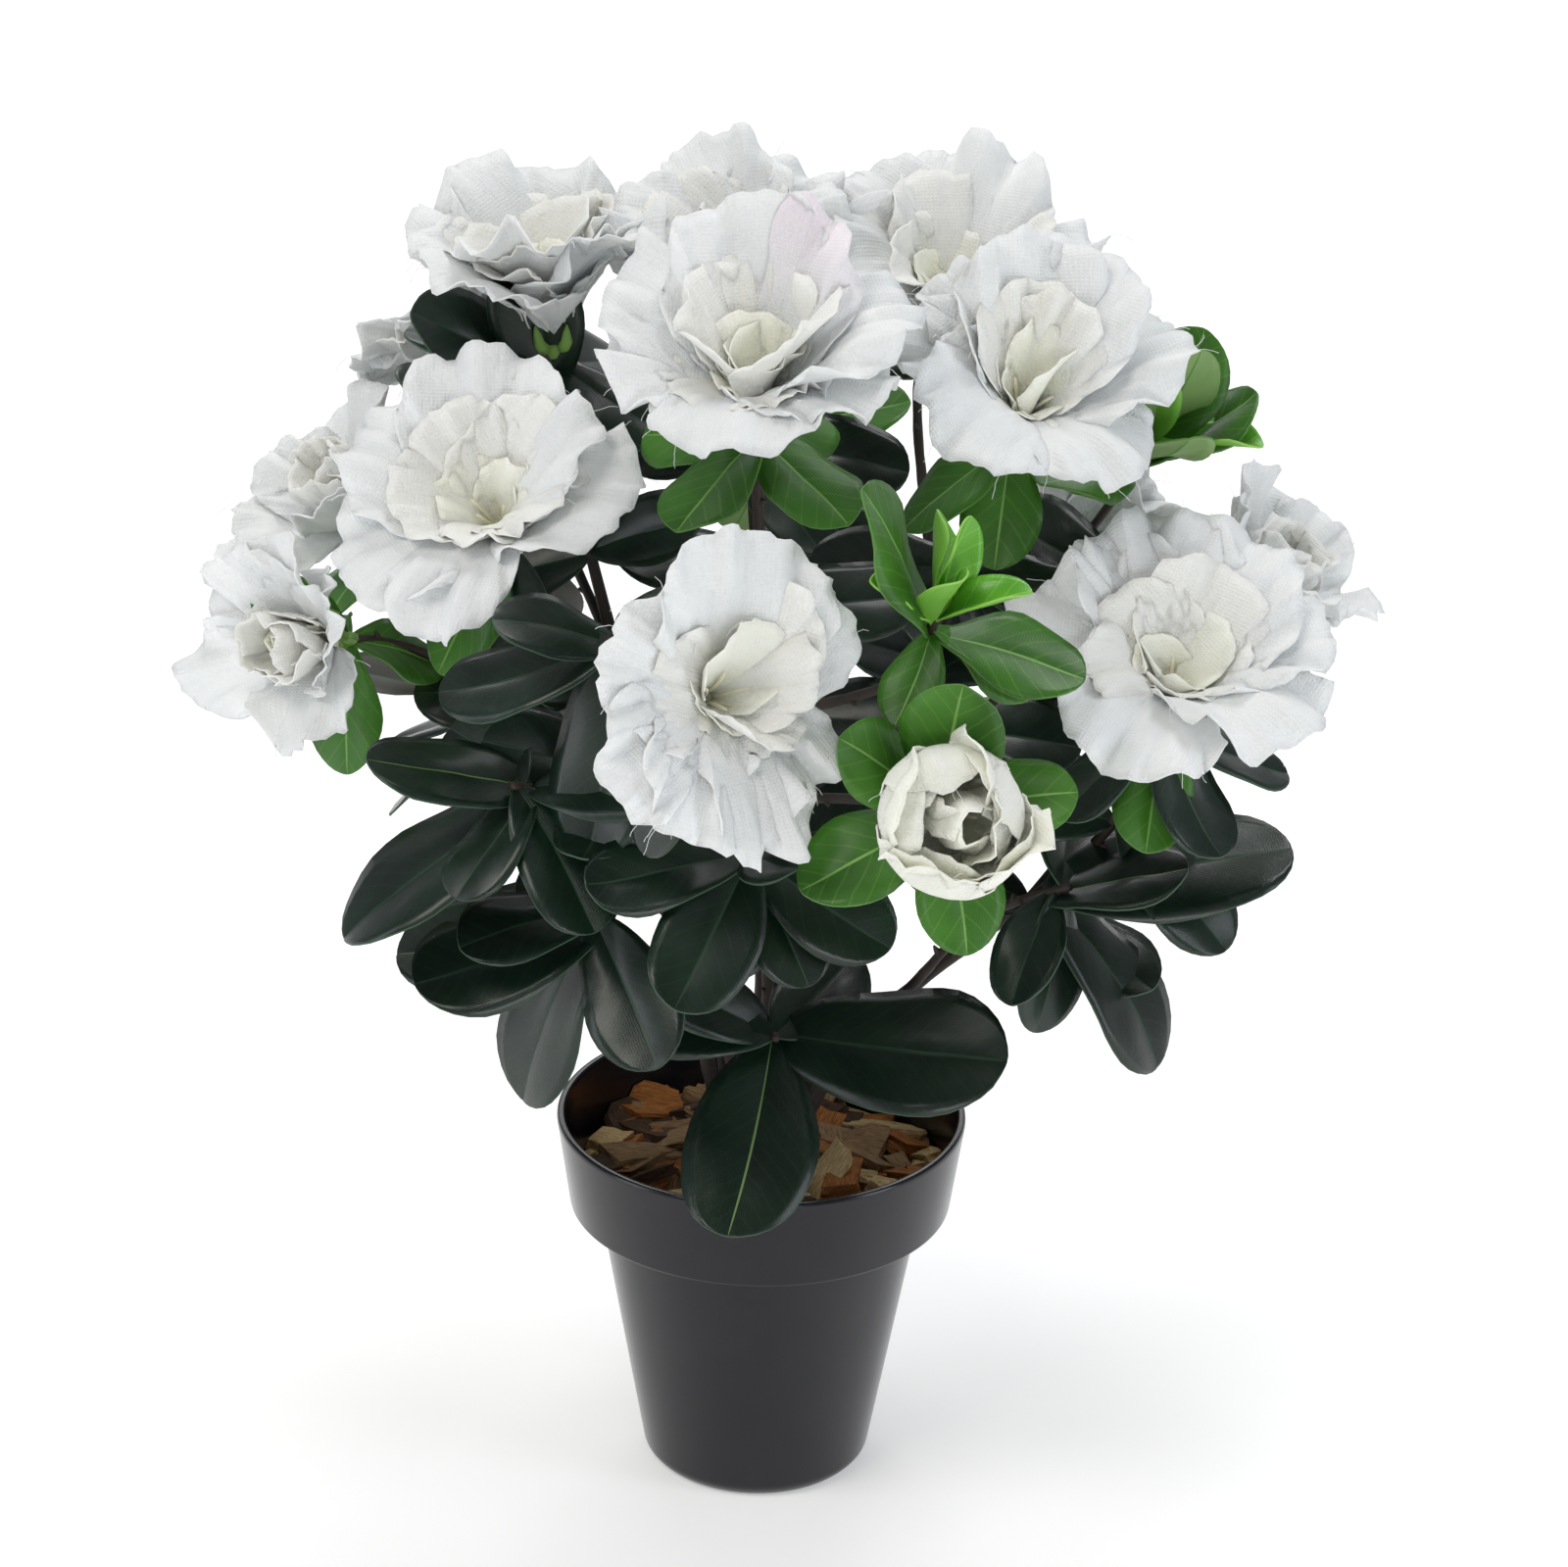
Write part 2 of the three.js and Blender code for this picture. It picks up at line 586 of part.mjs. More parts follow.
// The whole blossom as one shell: up the calyx, out under each layer to its rim,
// back along its upper side, and over the closed heart to the axis.
function blossomSolid(frame, spray, shuts) {
	const { size } = spray;
	const { layers, heart } = OPENING[spray.opening];
	const rings = [
		{ radius: 0, height: -CALYX.length },
		{ radius: CALYX.radius, height: -CALYX.shoulder },
	];
	layers.forEach((layer, row) => {
		rings.push({ row, along: 0.55, side: -1 }, { row, along: 1, side: 0 }, { row, along: 0.55, side: 1 });
		rings.push({ row, along: 0.16, side: 1 });
	});
	rings.push({ radius: heart.radius * size, height: heart.shoulder * size });
	rings.push({ radius: 0, height: heart.height * size });
	const columns = layers[0].petals * PETAL.columns;
	const last = rings.length - 1;
	const sheet = new THREE.PlaneGeometry(1, 1, columns, last);
	for (let quad = 0; quad < columns * last; quad++) {
		const ring = rings[last - Math.floor(quad / columns)];
		if (ring.side === 1) splitOtherWay(sheet, quad);
	}
	reshape(sheet, ({ x, y }) => {
		const ring = rings[Math.round((y + 0.5) * last)];
		const round = (Math.round((x + 0.5) * columns) % columns) / columns;
		if (ring.row === undefined) {
			const spin = 2 * Math.PI * round;
			const point = new THREE.Vector3(ring.height, -Math.sin(spin) * ring.radius, Math.cos(spin) * ring.radius);
			return point.applyMatrix4(frame);
		}
		const layer = layers[ring.row];
		const { point, normal } = layerPoint(layer, size, shuts[ring.row], ring.along, round);
		return point.addScaledVector(normal, (ring.side * PETAL.thickness) / 2).applyMatrix4(frame);
	});
	return toSolid(sheet);
}

// -------------------------------------------------------------------- sprays

// Ways to move a leaf that would touch something: [turn by, lift by] in degrees.
const LEAF_TRIES = [
	[0, 0], [0, 12], [0, -12], [14, 0], [-14, 0], [0, 24], [0, -24], [22, 12], [-22, 12], [28, -12], [-28, -12],
];
const SHUT_TRIES = [0, 1, 2, 3, 4];

function clashes(blade, others) {
	const box = blade.boundingBox();
	return others.some(({ solid, box: other }) => {
		const apart = [0, 1, 2].some((k) => box.min[k] > other.max[k] + 1 || box.max[k] < other.min[k] - 1);
		return !apart && blade.minGap(solid, CLEAR) < CLEAR;
	});
}

// The leaf in the first of its tried directions that is clear of the others.
function clearLeaf(root, leaf, spray, others) {
	const blades = LEAF_TRIES.map((moved) => leafSolid(root, leaf, spray, moved));
	return blades.find((blade) => !clashes(blade, others)) ?? blades[0];
}

function stalkSolid(spray, root, face) {
	const length = spray.size ? STALK.bloom : STALK.rosette;
	const line = new THREE.LineCurve3(root, root.clone().addScaledVector(face, length));
	return limbSolid(line, STALK.radius, STALK.radius, { sides: STALK.sides, steps: 1 });
}

function spraySolid(spray, others) {
	const face = heading(spray.face);
	const root = sprayRoot(spray);
	let solid = stalkSolid(spray, root, face);

	spray.leaves.forEach((leaf, index) => {
		const rise = spray.size ? 3 : 2.5 + ((STALK.rosette - 4) * (index + 0.5)) / spray.leaves.length;
		const leafRoot = root.clone().addScaledVector(face, rise);
		solid = solid.add(clearLeaf(leafRoot, leaf, spray, others));
	});

	if (spray.size) {
		const throat = root.clone().addScaledVector(face, STALK.bloom);
		const frame = frameAt(throat, face, UP);
		const shuts = OPENING[spray.opening].layers.map((layer) =>
			Array.from({ length: layer.petals }, (_, k) => {
				const open = SHUT_TRIES.find((by) => !clashes(petalSolid(frame, layer, k, spray.size, by), others));
				return open ?? SHUT_TRIES.length;
			}),
		);
		solid = solid.add(blossomSolid(frame, spray, shuts));
	}
	return largestBody(solid).simplify(SLIVER);
}

// ------------------------------------------------------------------ assembly

const plant = new THREE.Group();

function addPiece(name, geometry, colour, roughness) {
	const material = new THREE.MeshStandardMaterial({ color: colour, roughness, metalness: 0 });
	const mesh = new THREE.Mesh(geometry, material);
	mesh.name = name;
	plant.add(mesh);
}

const pot = potGeometry();
const stems = makeStems();
const branches = makeBranches(stems);
const chips = chipsSolid(stems);

addPiece('pot', pot, COLOUR.pot, 0.3);
addPiece('filling', fillingGeometry(), COLOUR.filling, 0.9);
addPiece('wood_chips', toGeometry(chips), COLOUR.chips, 0.85);
for (const limb of [...stems, ...branches]) addPiece(limb.name, toGeometry(limb.solid), COLOUR.stem, 0.6);

const placed = [toSolid(pot), chips, ...[...stems, ...branches].map(({ solid }) => solid)];
const neighbours = placed.map((solid) => ({ solid, box: solid.boundingBox() }));
for (const spray of SPRAYS) {
	const solid = spraySolid(spray, neighbours);
	neighbours.push({ solid, box: solid.boundingBox() });
	const kind = spray.size ? 'blossom' : 'leaves';
	addPiece(`${kind}_${spray.name}`, toGeometry(solid), spray.size ? COLOUR.blossom : COLOUR.leaves, 0.8);
}

export default plant;
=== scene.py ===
"""Artificial azalea in a pot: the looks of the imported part.

White fabric blossoms, green fabric leaves, moulded stems, a gloss pot and wood chips
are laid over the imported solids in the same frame. Lengths in the plan are millimetres,
and everything made in Blender is in metres.
"""

import json
import math
import random
import bmesh
import bpy
from bpy.props import FloatProperty, IntProperty, PointerProperty, StringProperty
from mathutils import Matrix, Vector, noise

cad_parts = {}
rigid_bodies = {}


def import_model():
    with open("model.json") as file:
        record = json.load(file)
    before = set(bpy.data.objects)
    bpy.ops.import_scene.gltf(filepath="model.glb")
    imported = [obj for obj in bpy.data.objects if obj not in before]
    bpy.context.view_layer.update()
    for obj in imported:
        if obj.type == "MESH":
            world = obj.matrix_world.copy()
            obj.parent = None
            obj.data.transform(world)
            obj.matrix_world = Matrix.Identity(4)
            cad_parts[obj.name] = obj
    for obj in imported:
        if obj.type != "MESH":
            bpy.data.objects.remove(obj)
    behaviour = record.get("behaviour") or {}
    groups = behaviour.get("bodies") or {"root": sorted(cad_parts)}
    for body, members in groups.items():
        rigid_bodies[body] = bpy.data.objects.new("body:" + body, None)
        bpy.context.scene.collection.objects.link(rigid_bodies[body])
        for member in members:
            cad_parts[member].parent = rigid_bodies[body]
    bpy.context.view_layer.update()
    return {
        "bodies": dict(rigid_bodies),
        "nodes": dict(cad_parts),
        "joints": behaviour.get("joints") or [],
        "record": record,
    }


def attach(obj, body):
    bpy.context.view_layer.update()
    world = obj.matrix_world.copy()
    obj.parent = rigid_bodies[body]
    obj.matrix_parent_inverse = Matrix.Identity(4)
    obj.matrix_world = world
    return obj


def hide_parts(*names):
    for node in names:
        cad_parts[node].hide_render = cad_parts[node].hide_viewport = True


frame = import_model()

bl_info = {
    "name": "Artificial azalea in a pot",
    "version": (1, 0, 0),
    "blender": (4, 5, 0),
    "location": "3D View > Sidebar > Azalea",
    "description": "Builds a potted artificial azalea with fabric blossoms and leaves",
    "category": "Add Mesh",
}

MM = 0.001
UP = Vector((0, 0, 1))


def linear(hex_colour):
    """The linear RGBA colour of an sRGB hex value."""
    parts = [int(hex_colour[i:i + 2], 16) / 255 for i in (1, 3, 5)]
    return [p / 12.92 if p <= 0.04045 else ((p + 0.055) / 1.055) ** 2.4 for p in parts] + [1.0]


def mix(a, b, share):
    return a + (b - a) * share


def heading(turn, lift):
    """A direction: turn goes from the front (-Y) round to the right (+X), and lift goes
    up from level, both in degrees."""
    turn, lift = math.radians(turn), math.radians(lift)
    return Vector((math.sin(turn) * math.cos(lift), -math.cos(turn) * math.cos(lift), math.sin(lift)))


def frame_at(along, up):
    """Columns of a frame whose x runs along and whose z leans to up."""
    z = (up - along * up.dot(along)).normalized()
    return along, z.cross(along), z


# ------------------------------------------------------------------------- plan

FILLING_TOP = 84.3
RIM_HEIGHT = 112.0
BAND_HEIGHT = 28.5
POT_INSIDE = dict(body=45.0, ledge=54.0, rim=57.5)
CHIP_BED = dict(radius=53.0, middle=87.9, height=3.6, reach=54.0, surface=90.5)
# A stem ends this far from the stalk of its spray.
GAP = 0.3
STEM = dict(foot_radius=2.4, tip_radius=1.5, handle=0.42, ring=9.0)
BRANCH = dict(foot_radius=1.7, tip_radius=1.3, handle=0.36)
STALK = dict(radius=1.5, bloom=12.0, rosette=16.0, throat=10.0)
LEAF_WIDTH = dict(dark=0.57, light=0.62, bright=0.5)

# A stem's foot is its turn round the ring of stems in the pot, and its tip carries a
# spray. ring draws its foot in, and arrive shortens its last bend.
STEMS = [
    dict(foot=-15, spray="front"),
    dict(foot=45, spray="right_shoulder"),
    dict(foot=-75, spray="left_shoulder"),
    dict(foot=15, spray="top_centre", ring=0.2),
    dict(foot=95, spray="top_right"),
    dict(foot=180, spray="back_centre_top", arrive=0.16),
    dict(foot=-135, spray="back_left_top"),
    dict(foot=135, spray="back_right_low"),
]


class Spray:
    """A blossom of a size with the leaves under it, or a rosette of leaves where its size
    is 0. A blossom's place is the front of its throat, a rosette's is its middle, and its
    face is a turn and a lift. A leaf is (turn, lift, length) and, where it isn't of the
    spray's own kind, its kind, with "pale" for a midrib that is printed pale. A spray that
    no stem ends at branches off one, on, at a share of its length."""

    def __init__(self, name, place, face, leaves, size=0, kind="dark", opening="full", on=None, at=None):
        self.name, self.face, self.leaves, self.size = name, face, leaves, size
        self.kind, self.opening, self.on, self.at = kind, opening, on, at
        self.forward = heading(*face)
        self.throat = Vector(place) - self.forward * STALK["throat"]
        self.stalk = STALK["bloom"] if size else STALK["rosette"]
        back = STALK["bloom"] + STALK["throat"] if size else STALK["rosette"] / 2
        self.root = Vector(place) - self.forward * back
        self.node = ("blossom_" if size else "leaves_") + name


SPRAYS = [
    Spray("top_centre", (-5, -55, 355), (-4, 68), [(-34, -20, 40), (40, -16, 40), (150, -10, 38),
          (-120, -5, 38)], size=100, kind="light"),
    Spray("top_right", (68, -28, 343), (18, 58), [(-12, -52, 36), (-75, -30, 38), (120, -20, 40)], size=90,
          kind="light"),
    Spray("left_shoulder", (-76, -32, 309), (-20, 50), [(-76, -56, 42), (10, -68, 42, "dark"),
          (-150, -40, 36), (-170, -10, 40)], size=92, kind="light"),
    Spray("front", (-12, -122, 293), (26, 24), [(-60, -65, 44, "dark"), (40, -72, 38)], size=92,
          kind="light"),
    Spray("right_shoulder", (109, -62, 276), (14, 64), [(-12, -55, 36), (-70, -35, 38, "dark"),
          (110, -25, 44, "dark"), (40, -50, 40, "dark")], size=94, kind="light"),
    Spray("left_low", (-130, -14, 262), (-38, 14), [(-4, -62, 38), (-70, 40, 32), (120, -20, 34),
          (-150, -10, 34)], size=62, kind="light", opening="half", on="left_shoulder", at=0.52),
    Spray("front_bud", (47, -140, 268), (6, 20), [(-60, 44, 38), (12, 66, 44), (84, 14, 36), (-72, -24, 42),
          (20, -52, 38)], size=44, kind="light", opening="cup", on="front", at=0.56),
    Spray("front_shoot", (42, -104, 306), (8, 56), [(-36, 70, 50), (74, -6, 42), (-30, -40, 27),
          (100, -30, 34), (20, 50, 27, "bright"), (-60, 40, 24, "bright"), (70, 34, 28, "bright"),
          (170, 62, 28, "bright"), (120, 66, 27, "bright")], kind="light", on="front", at=0.74),
    Spray("back_left_top", (-64, 32, 348), (-60, 82), [(150, -10, 44), (-150, -4, 44), (-100, 16, 44),
          (70, -20, 42)], size=84, opening="open"),
    Spray("back_centre_top", (-10, 32, 362), (-8, 64), [(-62, 58, 32), (-96, 44, 26, "bright"),
          (80, 10, 38), (0, -30, 40, "dark"), (-20, -60, 40, "dark")], size=76, kind="light"),
    Spray("back_right_top", (47, 38, 352), (24, 62), [(-20, 10, 36, "dark"), (80, -10, 40),
          (-120, -20, 38, "dark")], size=88, kind="light", on="top_right", at=0.66),
    Spray("right_high_shoots", (101, 0, 315), (70, 62), [(-40, 20, 40), (60, 66, 44), (95, 34, 40),
          (118, 62, 42), (20, 30, 36), (150, 10, 40, "dark"), (-60, 60, 30, "bright"),
          (10, 72, 30, "bright"), (80, 12, 32, "bright")], kind="light", on="top_right", at=0.55),
    Spray("right_far", (141, 34, 266), (80, 50), [(80, -50, 38), (160, -20, 40, "dark"), (20, 10, 36),
          (110, 60, 30)], size=60, kind="light", opening="half", on="right_shoulder", at=0.62),
    Spray("left_far", (-122, 46, 284), (-66, 50), [(-30, -20, 40), (10, 16, 44, "dark"), (-100, -40, 38),
          (170, -10, 42, "dark")], size=54, kind="light", opening="half", on="left_shoulder", at=0.64),
    Spray("back_left_high", (-90, 74, 316), (-140, 40), [(-60, -20, 46), (-30, 30, 46), (150, -30, 46)],
          size=74, on="back_left_top", at=0.62),
    Spray("back_left_low", (-84, 112, 250), (-142, 24), [(-100, -50, 44, "dark"), (170, -50, 46, "dark"),
          (-70, 20, 40)], size=86, kind="light", on="back_left_top", at=0.42),
    Spray("back_centre", (2, 124, 294), (180, 30), [(-140, -56, 42), (140, -56, 42), (90, 16, 40),
          (-90, 16, 42, "dark")], size=90, kind="light", on="back_centre_top", at=0.5),
    Spray("back_right_low", (90, 108, 254), (140, 26), [(100, -48, 46, "dark"), (-170, -50, 44, "dark"),
          (80, 24, 40)], size=86, kind="light"),
    Spray("right_leaves", (78, -50, 206), (58, 28), [(70, 22, 46, "dark", "pale"), (98, 10, 72),
          (76, -46, 60), (-24, -28, 36), (-6, -64, 40), (170, 10, 50)], on="right_shoulder", at=0.36),
    Spray("centre_leaves", (-4, -84, 232), (6, 20), [(-8, -40, 36), (32, -36, 40), (62, -20, 46),
          (-30, -38, 50), (-76, -6, 46), (20, 20, 36)], on="front", at=0.36),
    Spray("left_leaves", (-64, -62, 240), (-46, 22), [(-76, 18, 50, "dark", "pale"), (-80, -31, 68),
          (-40, -26, 38), (60, 20, 50), (-150, 0, 46), (40, -40, 46)], on="left_shoulder", at=0.38),
    Spray("left_low_leaves", (-44, -54, 200), (-42, 8), [(-72, -12, 60), (-98, -16, 64, "dark", "pale"),
          (-58, 4, 44), (-78, -64, 62), (30, -40, 48)], on="front", at=0.22),
    Spray("foot_leaves", (3, -32, 152), (6, 20), [(66, 8, 71), (-12, -30, 66, "dark", "pale"),
          (-76, 34, 44), (150, 10, 46), (-100, 14, 48)], on="top_centre", at=0.14),
    Spray("upper_left_leaves", (-40, -72, 286), (-26, 34), [(-70, 24, 38), (-40, -74, 58), (-100, -20, 52),
          (30, 30, 40)], on="top_centre", at=0.5),
    Spray("upper_right_leaves", (96, -22, 286), (40, 44), [(-84, 12, 38), (-130, 16, 48), (20, -34, 40),
          (120, 0, 46), (40, -60, 44)], on="top_right", at=0.4),
    Spray("back_left_leaves", (-74, 66, 214), (-132, 18), [(-90, 14, 58), (-128, -24, 60, "dark", "pale"),
          (-160, 18, 56), (-70, -36, 52), (170, -34, 54)], on="back_left_top", at=0.28),
    Spray("back_right_leaves", (72, 70, 210), (127, 19), [(92, 14, 60), (126, -26, 60), (162, 16, 54),
          (70, -34, 54), (-176, -40, 52)], on="back_right_low", at=0.36),
    Spray("back_centre_leaves", (0, 76, 186), (180, 14), [(140, 4, 56), (180, -30, 62), (-140, 2, 56),
          (110, -36, 50), (-112, -34, 50)], on="back_centre_top", at=0.24),
]
BLOSSOMS = [spray for spray in SPRAYS if spray.size]

# Dark leaves that stand on the stems themselves, inside the crown: the stem, the share
# of its length, and the leaves.
UNDERGROWTH = [
    ("back_centre_top", 0.72, [(100, 10, 44), (-80, 6, 42)]),
    ("back_centre_top", 0.84, [(80, -5, 46), (-95, 0, 40), (40, -30, 40)]),
    ("back_left_top", 0.66, [(-60, 20, 46), (70, 15, 44)]),
    ("back_left_top", 0.78, [(-80, -15, 46), (60, 25, 42)]),
    ("back_left_top", 0.9, [(-100, -10, 40)]),
    ("top_right", 0.5, [(60, 10, 46), (-60, 20, 44)]),
    ("top_right", 0.66, [(80, 30, 46), (-40, 30, 44)]),
    ("top_right", 0.8, [(90, -10, 46), (-80, 10, 44), (30, -20, 40)]),
    ("back_right_low", 0.7, [(80, 0, 48), (-60, 10, 40)]),
    ("back_right_low", 0.88, [(60, 10, 46), (-70, 30, 42)]),
    ("left_shoulder", 0.56, [(-60, 20, 48), (40, 20, 42)]),
    ("left_shoulder", 0.72, [(-90, 0, 48), (30, -20, 44), (-40, 40, 44)]),
    ("right_shoulder", 0.62, [(-60, 30, 44), (50, -10, 48)]),
    ("right_shoulder", 0.82, [(-90, 10, 44), (60, -40, 48)]),
    ("front", 0.52, [(-70, 0, 46), (60, 10, 46)]),
    ("front", 0.7, [(-80, 20, 46), (-20, -10, 44)]),
    ("top_centre", 0.45, [(-80, 10, 46), (80, 20, 46)]),
    ("top_centre", 0.62, [(70, 10, 44), (-90, 10, 44)]),
    ("top_centre", 0.78, [(90, 10, 44), (-60, 0, 44)]),
    ("back_left_top", 0.99, [(-62, 34, 50), (-34, 64, 46)]),
]

# Petals of the blossoms that have their own form, by layer. A petal is (spin round the
# blossom's axis from its upper side, length, width, heading at its base, at its edge).
BLOSSOM_FORMS = {
    "top_centre": dict(
        outer=[(288, 58, 54, 20, 96), (245, 48, 44, 24, 104), (172, 50, 48, 24, 118), (90, 50, 44, 22, 104),
            (50, 60, 50, 20, 96), (6, 60, 48, 14, 62), (340, 60, 46, 14, 70)],
        middle=[(295, 46, 44, 11, 57), (14, 44, 38, 11, 49), (55, 44, 36, 11, 49), (150, 34, 34, 20, 82),
            (215, 34, 34, 20, 76)],
        inner=[(330, 28, 24, 8, 35), (30, 30, 24, 8, 35), (90, 24, 20, 8, 35), (150, 22, 20, 17, 62),
            (240, 30, 26, 8, 43)]),
    "top_right": dict(
        outer=[(278, 54, 46, 20, 96), (322, 56, 46, 18, 80), (352, 54, 48, 14, 66), (30, 50, 36, 18, 80),
            (129, 54, 46, 22, 104), (208, 50, 44, 24, 114), (70, 48, 38, 22, 104)],
        middle=[(0, 42, 34, 11, 52), (318, 40, 32, 11, 53), (60, 36, 28, 15, 67), (160, 26, 26, 19, 80),
            (235, 30, 30, 17, 78)],
        inner=[(340, 32, 20, 8, 38), (290, 30, 22, 8, 38), (50, 22, 18, 8, 38), (140, 20, 18, 16, 66),
            (210, 20, 18, 14, 64)]),
    "left_shoulder": dict(
        outer=[(14, 56, 50, 18, 88), (78, 54, 44, 22, 102), (137, 54, 46, 24, 108), (180, 58, 34, 26, 124),
            (275, 56, 50, 20, 98), (318, 52, 46, 18, 88)],
        middle=[(110, 38, 36, 19, 78), (40, 40, 36, 15, 72), (318, 44, 38, 15, 72), (275, 42, 36, 15, 75),
            (205, 34, 28, 18, 66)],
        inner=[(100, 26, 22, 12, 58), (30, 24, 20, 12, 54), (320, 26, 20, 12, 54), (240, 26, 22, 12, 52),
            (170, 24, 20, 15, 52)]),
    "front": dict(
        outer=[(354, 56, 50, 20, 92), (314, 50, 44, 20, 98), (65, 50, 42, 20, 98), (117, 54, 42, 22, 104),
            (158, 50, 48, 22, 96), (204, 46, 38, 26, 120), (186, 54, 34, 26, 116)],
        middle=[(345, 44, 44, 17, 79), (296, 36, 30, 17, 68), (72, 34, 34, 17, 78), (156, 26, 30, 19, 83),
            (230, 30, 26, 20, 76)],
        inner=[(352, 34, 26, 14, 54), (40, 22, 18, 14, 60), (110, 20, 18, 14, 64), (200, 18, 18, 16, 62),
            (290, 24, 18, 14, 54)]),
    "right_shoulder": dict(
        outer=[(6, 56, 50, 16, 78), (36, 54, 40, 16, 84), (322, 58, 52, 18, 88), (278, 54, 46, 22, 98),
            (217, 56, 46, 24, 112), (140, 56, 48, 24, 112), (78, 58, 44, 26, 112)],
        middle=[(320, 42, 42, 13, 65), (50, 38, 34, 13, 65), (110, 42, 30, 21, 90), (230, 28, 32, 19, 76),
            (180, 24, 24, 20, 78)],
        inner=[(300, 30, 24, 10, 51), (20, 28, 22, 10, 50), (80, 24, 20, 10, 51), (150, 20, 18, 17, 64),
            (220, 20, 20, 16, 62)]),
    "left_low": dict(
        outer=[(19, 40, 36, 34, 58), (52, 42, 36, 34, 72), (121, 46, 30, 30, 96), (215, 38, 34, 44, 52),
            (300, 38, 36, 46, 34)],
        middle=[(0, 30, 27, 28, -4), (72, 30, 27, 30, -4), (144, 30, 28, 32, 0), (216, 30, 28, 32, -2),
            (288, 30, 27, 30, -6)],
        inner=[(30, 24, 18, 20, -16), (102, 23, 18, 20, -18), (174, 24, 18, 20, -14),
            (246, 23, 18, 20, -18), (318, 24, 18, 20, -16)]),
    "front_bud": dict(
        outer=[(12, 46, 40, 98, -76), (84, 45, 38, 98, -72), (156, 46, 40, 98, -62), (228, 43, 38, 98, -50),
            (300, 45, 40, 98, -74)],
        middle=[(45, 40, 34, 92, -66), (165, 39, 32, 92, -60), (275, 40, 34, 92, -64)],
        inner=[(70, 40, 30, 66, -34), (160, 40, 30, 66, -30), (235, 40, 32, 66, -26),
            (320, 40, 30, 64, -34), (20, 38, 24, 40, -34), (140, 37, 24, 38, -30), (260, 38, 24, 40, -26)]),
}
PETAL_LAYERS = ("outer", "middle", "inner")

# The one petal with a pink blush: blossom, layer and spin.
BLUSH = ("top_centre", "outer", 340)

# Layers of the other blossoms: petals, length and width as shares of the blossom's
# size, headings, and the spin of the first one.
COMMON_FORMS = {
    "full": dict(outer=(6, 0.6, 0.52, 20, 96, 30), middle=(5, 0.47, 0.42, 21, 78, 0),
                 inner=(5, 0.3, 0.24, 16, 54, 36)),
    "open": dict(outer=(6, 0.64, 0.6, 24, 70, 0), middle=(5, 0.52, 0.5, 18, 52, 36),
                 inner=(5, 0.34, 0.28, 10, 34, 0)),
    "half": dict(outer=(5, 0.72, 0.6, 46, 34, 36), middle=(5, 0.56, 0.46, 30, -2, 0),
                 inner=(5, 0.4, 0.3, 20, -16, 36)),
}

# Tips of the sepals by a blossom's opening: how far out, and how far before its throat.
SEPAL_TIPS = dict(full=(8.5, 3.5), open=(7.5, 5.0), half=(9.5, 1.5), cup=(15.5, 3.5))

# Name, tint and shade of the petal cloth of each layer; shade is the darker tone of its random clouding. The
# middle and inner cloths are set paler than the outer one. Their cream tint is their own colour, and the
# extra paleness is painted light against the shade inside the blossom.
PETAL_COLOURS = dict(outer=("White", "#eff1f1", "#e4e7e7"), middle=("Warm white", "#f4f4f0", "#ebebe4"),
                     inner=("Cream white", "#f5f5ec", "#edeedd"))

# The plain parts of each kind of leaf, from the second material slot on: midrib,
# backing, cut edge and, on dark leaves, a pale midrib. A part is its name, its two
# colours, its roughness and the depth of its grain.
LEAF_PARTS = dict(
    dark=[("Dark green printed midrib", "#1d3526", "#27412f", 0.45, 0.05),
          ("Olive brown leaf backing, calendered", "#2b2c23", "#38382b", 0.62, 0.08),
          ("Cut edge of the dark leaf", "#2c4634", "#3a5642", 0.7, 0.05),
          ("Pale green printed midrib", "#5f7c48", "#76925a", 0.5, 0.05)],
    light=[("Lime printed midrib", "#6b9a48", "#7fab58", 0.5, 0.05),
           ("Pale green leaf backing, calendered", "#6d8f50", "#7d9c5c", 0.6, 0.08),
           ("Cut edge of the mid green leaf", "#4f7c34", "#5c8a3e", 0.7, 0.05)],
    bright=[("Bright green moulded midrib", "#8fcc4c", "#9cd45a", 0.3, 0.05),
            ("Bright green leaf underside", "#6fae3c", "#7cb848", 0.4, 0.06),
            ("Edge of the bright leaf", "#86c048", "#92c858", 0.4, 0.05)])
LEAF_BACKING, LEAF_EDGE, PALE_MIDRIB = 2, 3, 4
LEAF_GRAIN = 900

# Chips: name, colour of their hollows, colour of their fibres and share. The hollow colour is partly grain
# and partly painted shade in the hollows between fibres. The fibre colours are partly the wood's own tone and
# partly painted light, set paler against the crown's shadow on the chips.
WOODS = [("Split pine chip, fresh", "#93703f", "#e0c694", 0.2),
         ("Split pine chip, weathered", "#54402c", "#a0805a", 0.34),
         ("Split redwood chip", "#5f3418", "#b5763c", 0.22),
         ("Bark chip, dark", "#281c15", "#57412f", 0.24)]

